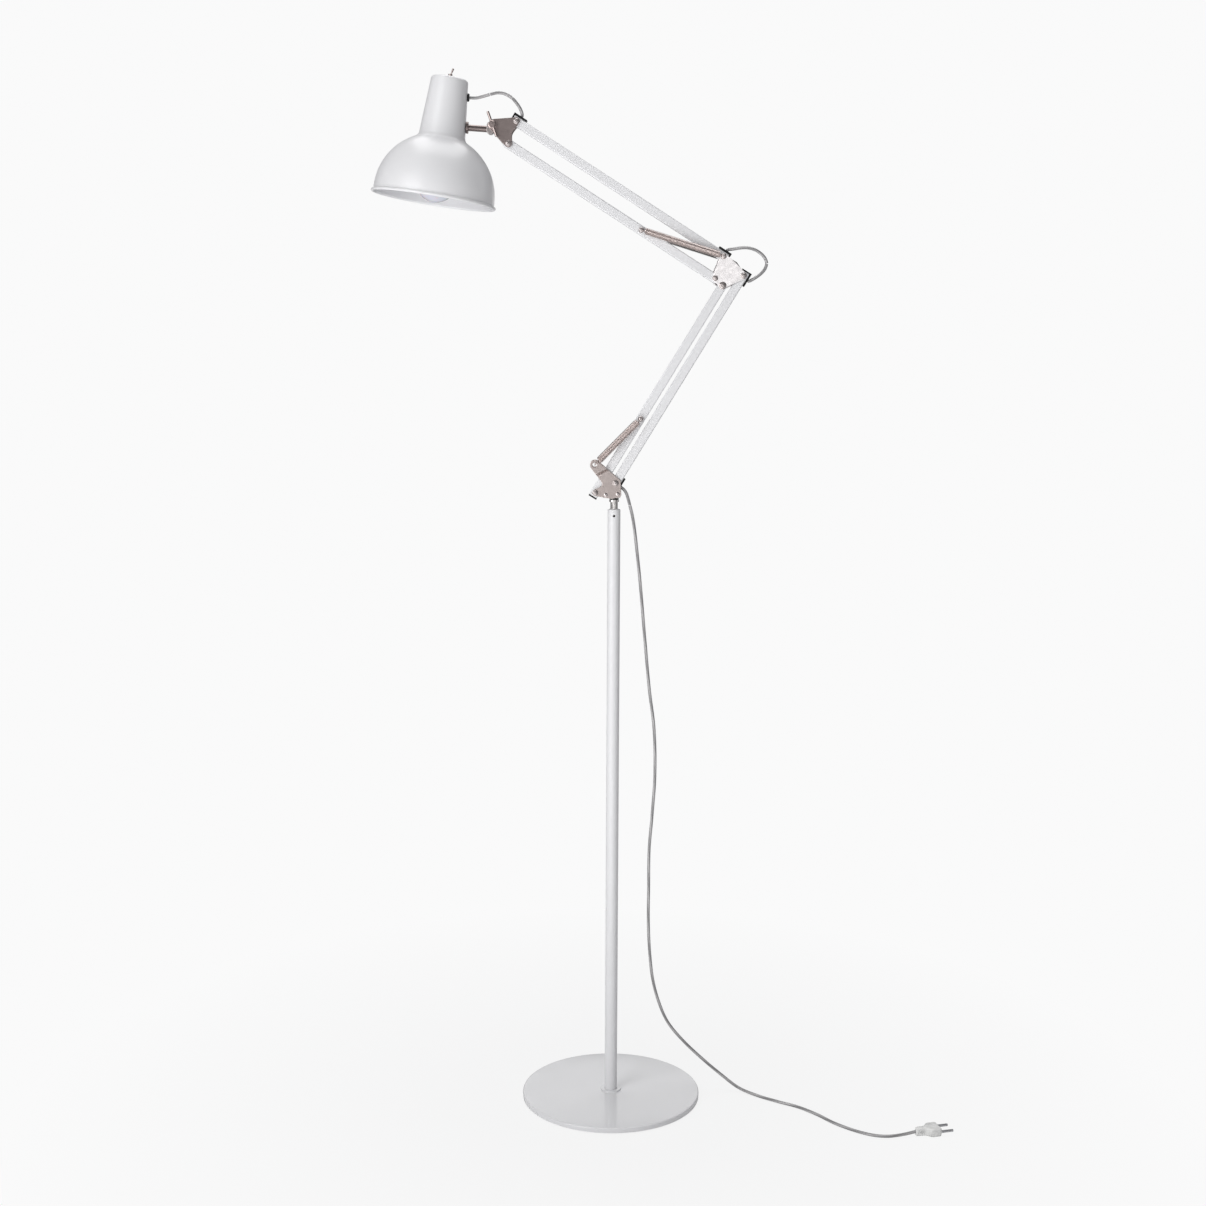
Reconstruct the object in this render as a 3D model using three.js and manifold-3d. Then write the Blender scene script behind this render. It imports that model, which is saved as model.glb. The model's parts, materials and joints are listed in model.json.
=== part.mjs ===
// Adjustable arm floor lamp: a steel base plate and pole, a swivelling two-bar sprung arm, and a
// tilting shade. Millimetres, +Z up. The origin is the centre of the base's underside; the arm
// folds in the XZ plane, with the shade towards -X and the front plates of the brackets at -Y.

import * as THREE from 'three';
import { mergeVertices } from 'three/addons/utils/BufferGeometryUtils.js';
import Module from 'manifold-3d';

const wasm = await Module();
wasm.setup();

// ---------------------------------------------------------------- driving dimensions
const GAP = 0.3;                       // clearance between pieces that touch
const DEG = Math.PI / 180;

const BASE_RADIUS = 137.5;
const BASE_THICKNESS = 7.7;
const PAD_RADIUS = 131;
const PAD_THICKNESS = 0.8;
const COLLAR_RADIUS = 15.8;            // raised collar on the base round the pole's foot
const COLLAR_HEIGHT = 2.2;

const POLE_RADIUS = 9.5;
const POLE_WALL = 1.5;
const POLE_TOP = 920;
const SET_SCREW_Z = 910;

const TUBE = 13;                       // square arm tube, outside
const TUBE_WALL = 1.2;
const TUBE_END = 6;                    // tube beyond its pivot
const PIVOT_GAP = 33.5;                // between the two pivots of every bracket pair
const LOWER_LENGTH = 355;              // pivot to pivot
const UPPER_LENGTH = 356;
const LOWER_ANGLE = 58.7 * DEG;        // arm directions, anticlockwise from +X, seen from -Y
const UPPER_ANGLE = 147.8 * DEG;
const LOWER_PAIR_ANGLE = 25.5 * DEG;   // from the left pivot to the right one
const UPPER_PAIR_ANGLE = 69.5 * DEG;   // from the lower pivot to the upper one
const LOWER_RIGHT = [2.2, 958.7];      // pivot of the right lower tube, x and z
const ELBOW_TOP = [157.3, 1289.6];     // pivot of the top upper tube

const PLATE_INNER = 7.3;               // bracket plates, from the arm's middle plane
const PLATE_OUTER = 9.1;
const SCREW_SHANK = 2;
const SCREW_HOLE = 2.35;

const SPRING_RADIUS = 5;
const SPRING_WIRE = 0.65;              // wire radius
const SPRING_Y = 14.5;                 // spring axis, from the arm's middle plane
const HOOK_Y = 10.6;                   // plane of the hook that loops round a screw
const SPRING_REACH = 128;              // spring screw on its tube, from the tube's pivot
const SPRING_LOBE = [-29, 985.5];      // hole in the lower bracket for the spring's loop
const LOBE_HOLE = 3.6;

const CLAMP = [-178.2, 1473.8];        // axis of the head's clamp screw
const NECK_BOSS = [-217.3, 1470.7];    // where the stem's axis meets the outside of the neck
const SHADE_TILT = 8.4 * DEG;          // the shade's axis leans towards +X by this
const STEM_RADIUS = 4.55;
const FLANGE_RADIUS = 8.35;            // the stem's flange, which turns against the neck
const FLANGE_THICKNESS = 3.9;
const THREAD_RADIUS = 3.9;
const SHADE_RADIUS = 88;
const SHADE_WALL = 1;
const DOME_CENTRE = 6;                 // height of the dome's centre above the rim
const NECK_FILLET = 9;                 // hollow corner between the dome and the neck
const NECK_START = 93;
const NECK_LOW_RADIUS = 33.4;
const NECK_TOP = 173;
const NECK_TOP_RADIUS = 26.5;
const STEM_HEIGHT = 108;               // where the stem meets the neck, above the rim
const GROMMET_HEIGHT = 150;

const BULB_RADIUS = 30;
const BULB_HEIGHT = 26.5;              // centre of the globe above the shade's rim

const CORD_RADIUS = 2.3;

// ---------------------------------------------------------------- materials
const finish = (color, roughness, metalness) =>
  new THREE.MeshStandardMaterial({ color, roughness, metalness });
const WHITE_PAINT = finish(0xf3f3f4, 0.25, 0);
const NICKEL = finish(0xb9aca6, 0.22, 1);
const STEEL = finish(0x9a9ba0, 0.4, 1);
const BLACK_PLASTIC = finish(0x141414, 0.45, 0);
const WHITE_PLASTIC = finish(0xe9e9e7, 0.4, 0);
const FOAM = finish(0x2a2a2c, 0.9, 0);
const OPAL_GLASS = finish(0xdcdde6, 0.15, 0);
const CLEAR_CORD = finish(0x8f8d8c, 0.3, 0);

// ---------------------------------------------------------------- solids and booleans
function toSolid(geometry) {
  const bare = geometry.clone();
  bare.deleteAttribute('normal');
  bare.deleteAttribute('uv');
  const merged = mergeVertices(bare, 1e-4);
  return new wasm.Manifold(new wasm.Mesh({
    numProp: 3,
    vertProperties: new Float32Array(merged.attributes.position.array),
    triVerts: new Uint32Array(merged.index.array),
  }));
}

function toGeometry(solid) {
  const mesh = solid.getMesh();
  const geometry = new THREE.BufferGeometry();
  geometry.setAttribute('position', new THREE.BufferAttribute(mesh.vertProperties, 3));
  geometry.setIndex(new THREE.BufferAttribute(mesh.triVerts, 1));
  geometry.computeVertexNormals();
  return geometry;
}

const combine = (first, rest, how) =>
  toGeometry(rest.reduce((solid, next) => solid[how](toSolid(next)), toSolid(first)));
const cut = (body, ...tools) => combine(body, tools, 'subtract');
const join = (body, ...more) => combine(body, more, 'add');
const common = (body, ...more) => combine(body, more, 'intersect');

// ---------------------------------------------------------------- plain shapes
function box(x0, x1, y0, y1, z0, z1) {
  const shape = new THREE.BoxGeometry(x1 - x0, y1 - y0, z1 - z0);
  return shape.translate((x0 + x1) / 2, (y0 + y1) / 2, (z0 + z1) / 2);
}

// A solid turned about Z from [radius, z] points; a profile clear of the axis closes on itself.
function turned(points, sides = 32) {
  const onAxis = points[0][0] === 0;
  const profile = onAxis ? points : [...points, points[0]];
  return new THREE.LatheGeometry(profile.map(([r, z]) => new THREE.Vector2(r, z)), sides)
    .rotateX(Math.PI / 2);
}

const rod = (radius, z0, z1, sides = 24) =>
  turned([[0, z0], [radius, z0], [radius, z1], [0, z1]], sides);
const ring = (inner, outer, z0, z1, sides = 32) =>
  turned([[inner, z0], [outer, z0], [outer, z1], [inner, z1]], sides);

// Turns a shape that stands along Z so that it runs along -Y: its top is at the front.
const towardsFront = (geometry) => geometry.rotateX(Math.PI / 2);
const alongX = (geometry) => geometry.rotateY(Math.PI / 2);

// A flat plate: an outline in the XZ plane, given thickness from y0 to y1.
function plate(shape, y0, y1, curveSegments = 4) {
  const geometry = new THREE.ExtrudeGeometry(shape, {
    depth: y1 - y0, bevelEnabled: false, curveSegments,
  });
  return geometry.rotateX(Math.PI / 2).translate(0, y1, 0);
}

// An outline round circles [x, z, radius], listed anticlockwise and joined by common tangents.
// A negative radius makes a hollow corner.
function outlineRound(circles) {
  const count = circles.length;
  const normals = circles.map(([x, z, r], i) => {
    const [nextX, nextZ, nextR] = circles[(i + 1) % count];
    const length = Math.hypot(nextX - x, nextZ - z);
    const along = [(nextX - x) / length, (nextZ - z) / length];
    const lean = (r - nextR) / length;
    const across = Math.sqrt(1 - lean * lean);
    return [along[0] * lean + along[1] * across, along[1] * lean - along[0] * across];
  });
  const shape = new THREE.Shape();
  circles.forEach(([x, z, r], i) => {
    const arrive = normals[(i + count - 1) % count];
    const leave = normals[i];
    const flip = r < 0 ? Math.PI : 0;
    const from = Math.atan2(arrive[1], arrive[0]) + flip;
    const to = Math.atan2(leave[1], leave[0]) + flip;
    if (i === 0) shape.moveTo(x + r * arrive[0], z + r * arrive[1]);
    shape.absarc(x, z, Math.abs(r), from, to, r < 0);
  });
  shape.closePath();
  return shape;
}

// A tube swept along a smooth curve through the points.
function cordAlong(points, steps, radius = CORD_RADIUS, sides = 8) {
  const curve = new THREE.CatmullRomCurve3(points.map((p) => new THREE.Vector3(...p)), false,
    'centripetal');
  const section = new THREE.Shape();
  for (let i = 0; i < sides; i += 1) {
    const angle = (i / sides) * 2 * Math.PI;
    section[i ? 'lineTo' : 'moveTo'](radius * Math.cos(angle), radius * Math.sin(angle));
  }
  section.closePath();
  return new THREE.ExtrudeGeometry(section, { steps, extrudePath: curve, bevelEnabled: false });
}

// ---------------------------------------------------------------- scene helpers
const lamp = new THREE.Group();

function add(name, geometry, material, parent = lamp) {
  const mesh = new THREE.Mesh(geometry, material);
  mesh.name = name;
  parent.add(mesh);
  return mesh;
}

function frameAt([x, z], angle = 0, y = 0) {
  const group = new THREE.Group();
  group.position.set(x, y, z);
  group.rotation.y = -angle;
  lamp.add(group);
  return group;
}

const step = ([x, z], angle, distance) =>
  [x + distance * Math.cos(angle), z + distance * Math.sin(angle)];

const LOWER_LEFT = step(LOWER_RIGHT, LOWER_PAIR_ANGLE, -PIVOT_GAP);
const ELBOW_RIGHT = step(LOWER_RIGHT, LOWER_ANGLE, LOWER_LENGTH);
const ELBOW_BOTTOM = step(LOWER_LEFT, LOWER_ANGLE, LOWER_LENGTH);
const ELBOW_LEFT = step(ELBOW_TOP, UPPER_PAIR_ANGLE, -PIVOT_GAP);
const HEAD_TOP = step(ELBOW_TOP, UPPER_ANGLE, UPPER_LENGTH);
const HEAD_BOTTOM = step(ELBOW_LEFT, UPPER_ANGLE, UPPER_LENGTH);

// ---------------------------------------------------------------- base and pole
const BASE_BOTTOM = PAD_THICKNESS;
const BASE_TOP = BASE_BOTTOM + BASE_THICKNESS;
const BOLT_RADIUS = 5;
const BOLT_HEAD = [8.5, 3.6];

function buildBase() {
  add('base_pad', rod(PAD_RADIUS, 0, PAD_THICKNESS - 0.1, 64), FOAM);

  const sinkRadius = BOLT_HEAD[0] + 0.8;
  const sinkTop = BASE_BOTTOM + BOLT_HEAD[1] + 0.4;
  const edge = 2.2;
  const rim = [0, 30, 60, 90].map((a) => [
    BASE_RADIUS - edge + edge * Math.cos(a * DEG), BASE_TOP - edge + edge * Math.sin(a * DEG)]);
  add('base_plate', turned([
    [sinkRadius, BASE_BOTTOM], [BASE_RADIUS - 1, BASE_BOTTOM], [BASE_RADIUS, BASE_BOTTOM + 1],
    ...rim, [COLLAR_RADIUS, BASE_TOP], [COLLAR_RADIUS, BASE_TOP + COLLAR_HEIGHT - 0.6],
    [COLLAR_RADIUS - 0.6, BASE_TOP + COLLAR_HEIGHT], [POLE_RADIUS + 0.2, BASE_TOP + COLLAR_HEIGHT],
    [POLE_RADIUS + 0.2, BASE_TOP], [BOLT_RADIUS + 0.3, BASE_TOP], [BOLT_RADIUS + 0.3, sinkTop],
    [sinkRadius, sinkTop],
  ], 56), WHITE_PAINT);

  add('base_bolt', join(
    rod(BOLT_HEAD[0], BASE_BOTTOM + 0.2, BASE_BOTTOM + 0.2 + BOLT_HEAD[1], 6),
    rod(BOLT_RADIUS, BASE_BOTTOM + 1, 34, 16),
  ), STEEL);
}

function buildPole() {
  const bore = POLE_RADIUS - POLE_WALL;
  const foot = BASE_TOP + GAP;
  const lip = 2.2;
  const crown = [0, 30, 60, 90].map((a) => [
    POLE_RADIUS - lip + lip * Math.cos(a * DEG), POLE_TOP - lip + lip * Math.sin(a * DEG)]);
  const footTop = 42;
  const tube = turned([
    [BOLT_RADIUS + 0.2, foot], [POLE_RADIUS, foot], ...crown, [6.1, POLE_TOP],
    [6.1, POLE_TOP - 1.6], [bore, POLE_TOP - 1.6], [bore, footTop], [BOLT_RADIUS + 0.2, footTop],
  ], 32);
  const screwHole = towardsFront(rod(1.9, 4, 12, 12)).translate(0, 0, SET_SCREW_Z);
  add('pole_tube', cut(tube, screwHole), WHITE_PAINT);

  const bush = ring(5.25, bore - 0.2, 862, POLE_TOP - 1.9, 24);
  add('pole_top_bush', cut(bush, screwHole), WHITE_PLASTIC);
  add('pole_set_screw', towardsFront(rod(1.6, 5.4, 8.7, 12)).translate(0, 0, SET_SCREW_Z), STEEL);
}

// ---------------------------------------------------------------- screws and rivets
// A pan-head screw through both plates, with its nut behind, along Y through the local origin.
function pivotScrew({ headRadius, reach = PLATE_OUTER }) {
  const head = reach + 0.15;
  const dome = [[headRadius, head], [headRadius, head + 1.2], [headRadius * 0.8, head + 2.1],
    [headRadius * 0.4, head + 2.6], [0, head + 2.7]];
  const nutTop = -(reach + 0.15);
  const screw = turned([
    [0, nutTop - 3.4], [SCREW_SHANK, nutTop - 3.4], [SCREW_SHANK, head], ...dome], 12);
  return towardsFront(join(screw, rod(headRadius + 0.3, nutTop - 2.6, nutTop, 6)));
}

function rivet() {
  const outer = PLATE_OUTER + 0.15;
  const cap = (sign) => [[3, sign * outer], [2.4, sign * (outer + 0.9)], [0, sign * (outer + 1.2)]];
  return towardsFront(turned([...cap(-1).reverse(), [SCREW_SHANK, -outer], [SCREW_SHANK, outer],
    ...cap(1)], 12));
}

// A screw that carries a spring hook on each side of its tube.
function springScrew() {
  const end = HOOK_Y + 1.1;
  const half = [[3.9, TUBE / 2 + GAP], [3.9, HOOK_Y - 1.1], [SCREW_SHANK, HOOK_Y - 1.1],
    [SCREW_SHANK, end], [3.7, end], [3.7, end + 1], [2.6, end + 2.1], [0, end + 2.5]];
  const mirrored = half.map(([r, y]) => [r, -y]).reverse();
  const waist = [[SCREW_SHANK, -(TUBE / 2 + GAP)], [SCREW_SHANK, TUBE / 2 + GAP]];
  return towardsFront(turned([...mirrored, ...waist, ...half], 12));
}

const holeAlongY = (x, z, radius = SCREW_HOLE, sides = 12) =>
  towardsFront(rod(radius, -40, 40, sides)).translate(x, 0, z);

// ---------------------------------------------------------------- swivel and lower bracket
const RIVETS = [[-12.5, 941.3], [5.2, 942.6]];
const BLOCK_BOTTOM = 936.6;
const BLOCK_TOP = 945.9;

function lowerBracketPlate(side) {
  const outline = outlineRound([
    [...LOWER_LEFT, 4.6], [-4.5, 940, 4.5], [6.3, 942, 4.4], [3.6, 960, 6],
    [...SPRING_LOBE, 7], [-22.3, 957.6, -4.5],
  ]);
  const slab = plate(outline, -20, 20);
  // The lobe is set outwards by a double bend across this line, to meet the spring's middle.
  const bend = [-23.8, 969.2];
  const across = new THREE.Vector3(-0.462, 0, 0.887).normalize();
  const ramp = 4.8;
  const offset = SPRING_Y - (PLATE_INNER + PLATE_OUTER) / 2;
  const inner = PLATE_INNER;
  const outer = PLATE_OUTER;
  const section = new THREE.Shape([
    [-70, inner], [0, inner], [ramp, inner + offset], [60, inner + offset],
    [60, outer + offset], [ramp, outer + offset], [0, outer], [-70, outer],
  ].map(([s, y]) => new THREE.Vector2(s, y)));
  const strip = new THREE.ExtrudeGeometry(section, { depth: 160, bevelEnabled: false })
    .translate(0, 0, -80);
  const depthAxis = new THREE.Vector3(0, 1, 0);
  strip.applyMatrix4(new THREE.Matrix4().makeBasis(across, depthAxis,
    new THREE.Vector3().crossVectors(across, depthAxis)));
  strip.translate(bend[0], 0, bend[1]);
  const bent = common(strip, slab);
  const holes = [LOWER_LEFT, LOWER_RIGHT, ...RIVETS].map(([x, z]) => holeAlongY(x, z));
  const piece = cut(bent, ...holes, holeAlongY(...SPRING_LOBE, LOBE_HOLE));
  return side === 'front' ? mirrorY(piece) : piece;
}

function mirrorY(geometry) {
  const mirrored = geometry.clone().scale(1, -1, 1);
  const index = mirrored.index;
  for (let i = 0; i < index.count; i += 3) {
    const first = index.getX(i);
    index.setX(i, index.getX(i + 1));
    index.setX(i + 1, first);
  }
  return mirrored;
}

function buildSwivel() {
  const post = join(
    rod(5, 872, POLE_TOP, 16), rod(5.5, POLE_TOP - 1.6, 931, 16),
    rod(7.3, 930.6, 933.6, 20), rod(4, 933, BLOCK_BOTTOM + 1, 16),
    box(-16.5, 9.4, -PLATE_INNER + GAP, PLATE_INNER - GAP, BLOCK_BOTTOM, BLOCK_TOP),
  );
  const groove = ring(3.8, 6, SET_SCREW_Z - 2.6, SET_SCREW_Z + 2.6, 16);
  add('swivel_post', cut(post, groove, ...RIVETS.map(([x, z]) => holeAlongY(x, z))), NICKEL);
  add('swivel_washer', ring(4.3, 6.9, 934, 936.2, 20), BLACK_PLASTIC);
  add('lower_bracket_front', lowerBracketPlate('front'), NICKEL);
  add('lower_bracket_rear', lowerBracketPlate('rear'), NICKEL);
  ['left', 'right'].forEach((side, i) =>
    add(`bracket_rivet_${side}`, rivet(), NICKEL, frameAt(RIVETS[i])));
  add('lower_pivot_screw_left', pivotScrew({ headRadius: 4.4 }), NICKEL, frameAt(LOWER_LEFT));
  add('lower_pivot_screw_right', pivotScrew({ headRadius: 4.6 }), NICKEL, frameAt(LOWER_RIGHT));
}

// ---------------------------------------------------------------- arm tubes and their caps
// Local frame: the tube runs along +X from its first pivot, Y is depth, and the cord leaves
// through the -Z side.
function squareSection(half, corner) {
  const near = half - corner;
  return new THREE.Shape([
    [-near, -half], [near, -half], [half, -near], [half, near],
    [near, half], [-near, half], [-half, near], [-half, -near],
  ].map(([a, b]) => new THREE.Vector2(a, b)));
}

function prismAlongX(shape, x0, x1) {
  const geometry = new THREE.ExtrudeGeometry(shape, { depth: x1 - x0, bevelEnabled: false });
  return alongX(geometry).translate(x0, 0, 0);
}

const roundAbout = (x, radius) => towardsFront(rod(radius, -TUBE, TUBE, 24)).translate(x, 0, 0);

// roundEnd: null, or the local x of the pivot whose end is rounded to turn past its neighbour.
function armTube(length, { screws = [], cordHoles = [], roundEnd = null }) {
  const outer = prismAlongX(squareSection(TUBE / 2, 1.4), -TUBE_END, length + TUBE_END);
  const bore = prismAlongX(squareSection(TUBE / 2 - TUBE_WALL, 0.6), -TUBE, length + TUBE);
  const holes = [0, length, ...screws].map((x) => holeAlongY(x, 0));
  const slots = cordHoles.map((x) => rod(2.9, -TUBE, 0, 12).translate(x, 0, 0));
  const tube = cut(outer, bore, ...holes, ...slots);
  if (roundEnd === null) return tube;
  const straight = roundEnd > 0
    ? box(-TUBE, roundEnd, -TUBE, TUBE, -TUBE, TUBE)
    : box(roundEnd, length + TUBE, -TUBE, TUBE, -TUBE, TUBE);
  return common(tube, join(straight, roundAbout(roundEnd, TUBE / 2)));
}

// Caps are drawn for the end at the first pivot; the far end is turned half a turn about Z.
const CAP_THICKNESS = 2.2;
const PLUG_HALF = TUBE / 2 - TUBE_WALL - 0.3;

function capBody(lowSide) {
  const face = -TUBE_END - 0.15;
  return [
    box(face - CAP_THICKNESS, face, -TUBE / 2, TUBE / 2, lowSide, TUBE / 2),
    box(face - 0.5, -3, -PLUG_HALF, PLUG_HALF, -PLUG_HALF, PLUG_HALF),
  ];
}

const plainCap = () => join(...capBody(-TUBE / 2));

// An end cap with a strip along the tube's side, which the cord comes out of.
const STRIP_OUTER = TUBE / 2 + 3;
const STRIP_LENGTH = 12.5;
function exitCap(holeX) {
  const face = -TUBE_END - 0.15 - CAP_THICKNESS;
  const strip = box(face, STRIP_LENGTH, -5.8, 5.8, -STRIP_OUTER, -TUBE / 2 - 0.2);
  const whole = join(...capBody(-STRIP_OUTER), strip);
  return cut(whole, rod(2.75, -TUBE, -TUBE / 2 + 0.5, 12).translate(holeX, 0, 0));
}

// A plug that fills a rounded tube end flush.
function roundPlug() {
  const filler = box(-TUBE, -2.9, -PLUG_HALF, PLUG_HALF, -PLUG_HALF, PLUG_HALF);
  return common(filler, roundAbout(0, TUBE / 2 - 0.1));
}

const farEnd = (geometry, length) => geometry.rotateZ(Math.PI).translate(length, 0, 0);

const CORD_EXITS = { base: -1.5, elbow: 2, elbowTop: 0, head: 2.5 };   // inboard of the pivot

function buildLowerArm() {
  const right = frameAt(LOWER_RIGHT, LOWER_ANGLE);
  add('lower_arm_tube_right', armTube(LOWER_LENGTH, {
    cordHoles: [CORD_EXITS.base, LOWER_LENGTH - CORD_EXITS.elbow],
  }), WHITE_PAINT, right);
  add('lower_arm_exit_cap', exitCap(CORD_EXITS.base), BLACK_PLASTIC, right);
  add('lower_arm_elbow_cap', farEnd(exitCap(CORD_EXITS.elbow), LOWER_LENGTH), BLACK_PLASTIC,
    right);

  const left = frameAt(LOWER_LEFT, LOWER_ANGLE);
  add('lower_arm_tube_left', armTube(LOWER_LENGTH, {
    screws: [SPRING_REACH], roundEnd: LOWER_LENGTH,
  }), WHITE_PAINT, left);
  add('lower_arm_end_cap', plainCap(), BLACK_PLASTIC, left);
  add('lower_arm_round_plug', farEnd(roundPlug(), LOWER_LENGTH), BLACK_PLASTIC, left);
  add('lower_spring_screw', springScrew().translate(SPRING_REACH, 0, 0), NICKEL, left);
}

function buildUpperArm() {
  const top = frameAt(ELBOW_TOP, UPPER_ANGLE);
  add('upper_arm_tube_top', armTube(UPPER_LENGTH, {
    cordHoles: [CORD_EXITS.elbowTop, UPPER_LENGTH - CORD_EXITS.head],
  }), WHITE_PAINT, top);
  add('upper_arm_elbow_cap', exitCap(CORD_EXITS.elbowTop), BLACK_PLASTIC, top);
  add('upper_arm_head_cap', farEnd(exitCap(CORD_EXITS.head), UPPER_LENGTH), BLACK_PLASTIC, top);

  const bottom = frameAt(ELBOW_LEFT, UPPER_ANGLE);
  add('upper_arm_tube_bottom', armTube(UPPER_LENGTH, {
    screws: [SPRING_REACH], roundEnd: 0,
  }), WHITE_PAINT, bottom);
  add('upper_arm_round_plug', roundPlug(), BLACK_PLASTIC, bottom);
  add('upper_spring_screw', springScrew().translate(SPRING_REACH, 0, 0), NICKEL, bottom);
}

// ---------------------------------------------------------------- springs
// Each is drawn as its outer cylinder with its two hooks, from a start at the local origin.
function hookRing(radius) {
  const sides = 6;
  const profile = Array.from({ length: sides }, (_, i) => [
    radius + SPRING_WIRE * Math.cos((i * 2 * Math.PI) / sides),
    SPRING_WIRE * Math.sin((i * 2 * Math.PI) / sides)]);
  return towardsFront(turned(profile, 16));
}

const SCREW_HOOK = 3.3;                // hook that loops round a screw
const LOOP_HOOK = 4.35;                // full loop that passes through the bracket's lobe

function screwHook(x, inward, bodyX) {
  const y = HOOK_Y - SPRING_Y;
  const link = alongX(rod(SPRING_WIRE, 0, Math.abs(bodyX - x) - SCREW_HOOK + 1.2, 6));
  if (inward < 0) link.rotateZ(Math.PI);
  return join(hookRing(SCREW_HOOK).translate(x, y, 0),
    link.translate(x + inward * (SCREW_HOOK - 0.2), y, 0));
}

function spring(length, loopAtStart) {
  const start = loopAtStart ? 2 * LOOP_HOOK : 5.6;
  const end = length - 5.6;
  const body = alongX(rod(SPRING_RADIUS, start, end, 12));
  const first = loopAtStart
    ? hookRing(LOOP_HOOK).rotateX(Math.PI / 2).translate(LOOP_HOOK, 0, 0)
    : screwHook(0, 1, start);
  return join(body, first, screwHook(length, -1, end));
}

function addSprings(name, from, to, loopAtStart) {
  const length = Math.hypot(to[0] - from[0], to[1] - from[1]);
  const angle = Math.atan2(to[1] - from[1], to[0] - from[0]);
  const rear = spring(length, loopAtStart);
  add(`${name}_front`, mirrorY(rear), NICKEL, frameAt(from, angle, -SPRING_Y));
  add(`${name}_rear`, rear, NICKEL, frameAt(from, angle, SPRING_Y));
}

function buildSprings() {
  addSprings('lower_spring', SPRING_LOBE, step(LOWER_LEFT, LOWER_ANGLE, SPRING_REACH), true);
  addSprings('upper_spring', step(ELBOW_LEFT, UPPER_ANGLE, SPRING_REACH), ELBOW_TOP, false);
}

// ---------------------------------------------------------------- elbow
function elbowPlate(y0, y1, innerMargin) {
  const outline = outlineRound([
    [...ELBOW_BOTTOM, innerMargin], [...ELBOW_RIGHT, 5], [172.2, 1276, 5.3],
    [...ELBOW_TOP, 4.8], [...ELBOW_LEFT, innerMargin + 0.2],
  ]);
  const holes = [ELBOW_BOTTOM, ELBOW_RIGHT, ELBOW_TOP, ELBOW_LEFT]
    .map(([x, z]) => holeAlongY(x, z));
  return cut(plate(outline, y0, y1), ...holes);
}

// The spacer that ties the two elbow plates together, curved along their outer edge.
function elbowWeb() {
  const shape = new THREE.Shape([[-7.2, 5.6], [0, 7.3], [7.2, 5.9], [7.2, 4.2], [0, 5.6], [-7.2, 3.9]]
    .reverse().map(([s, n]) => new THREE.Vector2(s, n)));
  const depth = PLATE_INNER - GAP;
  return plate(shape, -depth, depth);
}

function buildElbow() {
  add('elbow_plate_front', elbowPlate(-PLATE_OUTER, -PLATE_INNER, 4.1), NICKEL);
  add('elbow_plate_rear', elbowPlate(PLATE_INNER, PLATE_OUTER, 6), NICKEL);
  const middle = [(ELBOW_TOP[0] + ELBOW_RIGHT[0]) / 2, (ELBOW_TOP[1] + ELBOW_RIGHT[1]) / 2];
  const slope = Math.atan2(ELBOW_RIGHT[1] - ELBOW_TOP[1], ELBOW_RIGHT[0] - ELBOW_TOP[0]);
  add('elbow_web', elbowWeb(), NICKEL, frameAt(middle, slope));
  const hookReach = HOOK_Y + 1.1;
  add('elbow_screw_top', pivotScrew({ headRadius: 4.2, reach: hookReach }), NICKEL, frameAt(ELBOW_TOP));
  add('elbow_screw_left', pivotScrew({ headRadius: 4.1 }), NICKEL, frameAt(ELBOW_LEFT));
  add('elbow_screw_bottom', pivotScrew({ headRadius: 5.6 }), NICKEL, frameAt(ELBOW_BOTTOM));
  add('elbow_screw_right', pivotScrew({ headRadius: 4.7 }), NICKEL, frameAt(ELBOW_RIGHT));
}

// ---------------------------------------------------------------- head bracket and clamp
const CLAMP_SHANK = 2.6;
const TEE_Y = 16.2;                    // the tee's bar, in front of the middle plane
const TEE_ANGLE = -70.3 * DEG;
const TEE_HALF = 18.7;
const TEE_RADIUS = 1.9;

function headPlate(y0, y1) {
  const outline = outlineRound([
    [...HEAD_BOTTOM, 5.5], [-139.3, 1458.4, -11.6], [...HEAD_TOP, 5],
    [-176, 1478.8, 3.2], [...CLAMP, 6.2],
  ]);
  const holes = [HEAD_BOTTOM, HEAD_TOP].map(([x, z]) => holeAlongY(x, z));
  return cut(plate(outline, y0, y1), ...holes, holeAlongY(...CLAMP, CLAMP_SHANK + 0.3, 16));
}

function clampTee() {
  const end = TEE_RADIUS - 0.5;
  const bar = alongX(turned([[0, -TEE_HALF], [end, -TEE_HALF], [TEE_RADIUS, 0.5 - TEE_HALF],
    [TEE_RADIUS, TEE_HALF - 0.5], [end, TEE_HALF], [0, TEE_HALF]], 12))
    .rotateY(-TEE_ANGLE).translate(0, -TEE_Y, 0);
  const screw = towardsFront(turned([
    [0, -14.6], [CLAMP_SHANK - 0.6, -14.6], [CLAMP_SHANK, -14], [CLAMP_SHANK, PLATE_OUTER + 0.2],
    [6, PLATE_OUTER + 0.2], [6, PLATE_OUTER + 1.5], [4.8, PLATE_OUTER + 1.9],
    [4.8, TEE_Y + 2.4], [3.9, TEE_Y + 3.2], [0, TEE_Y + 3.4]], 20));
  return join(screw, bar);
}

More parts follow.
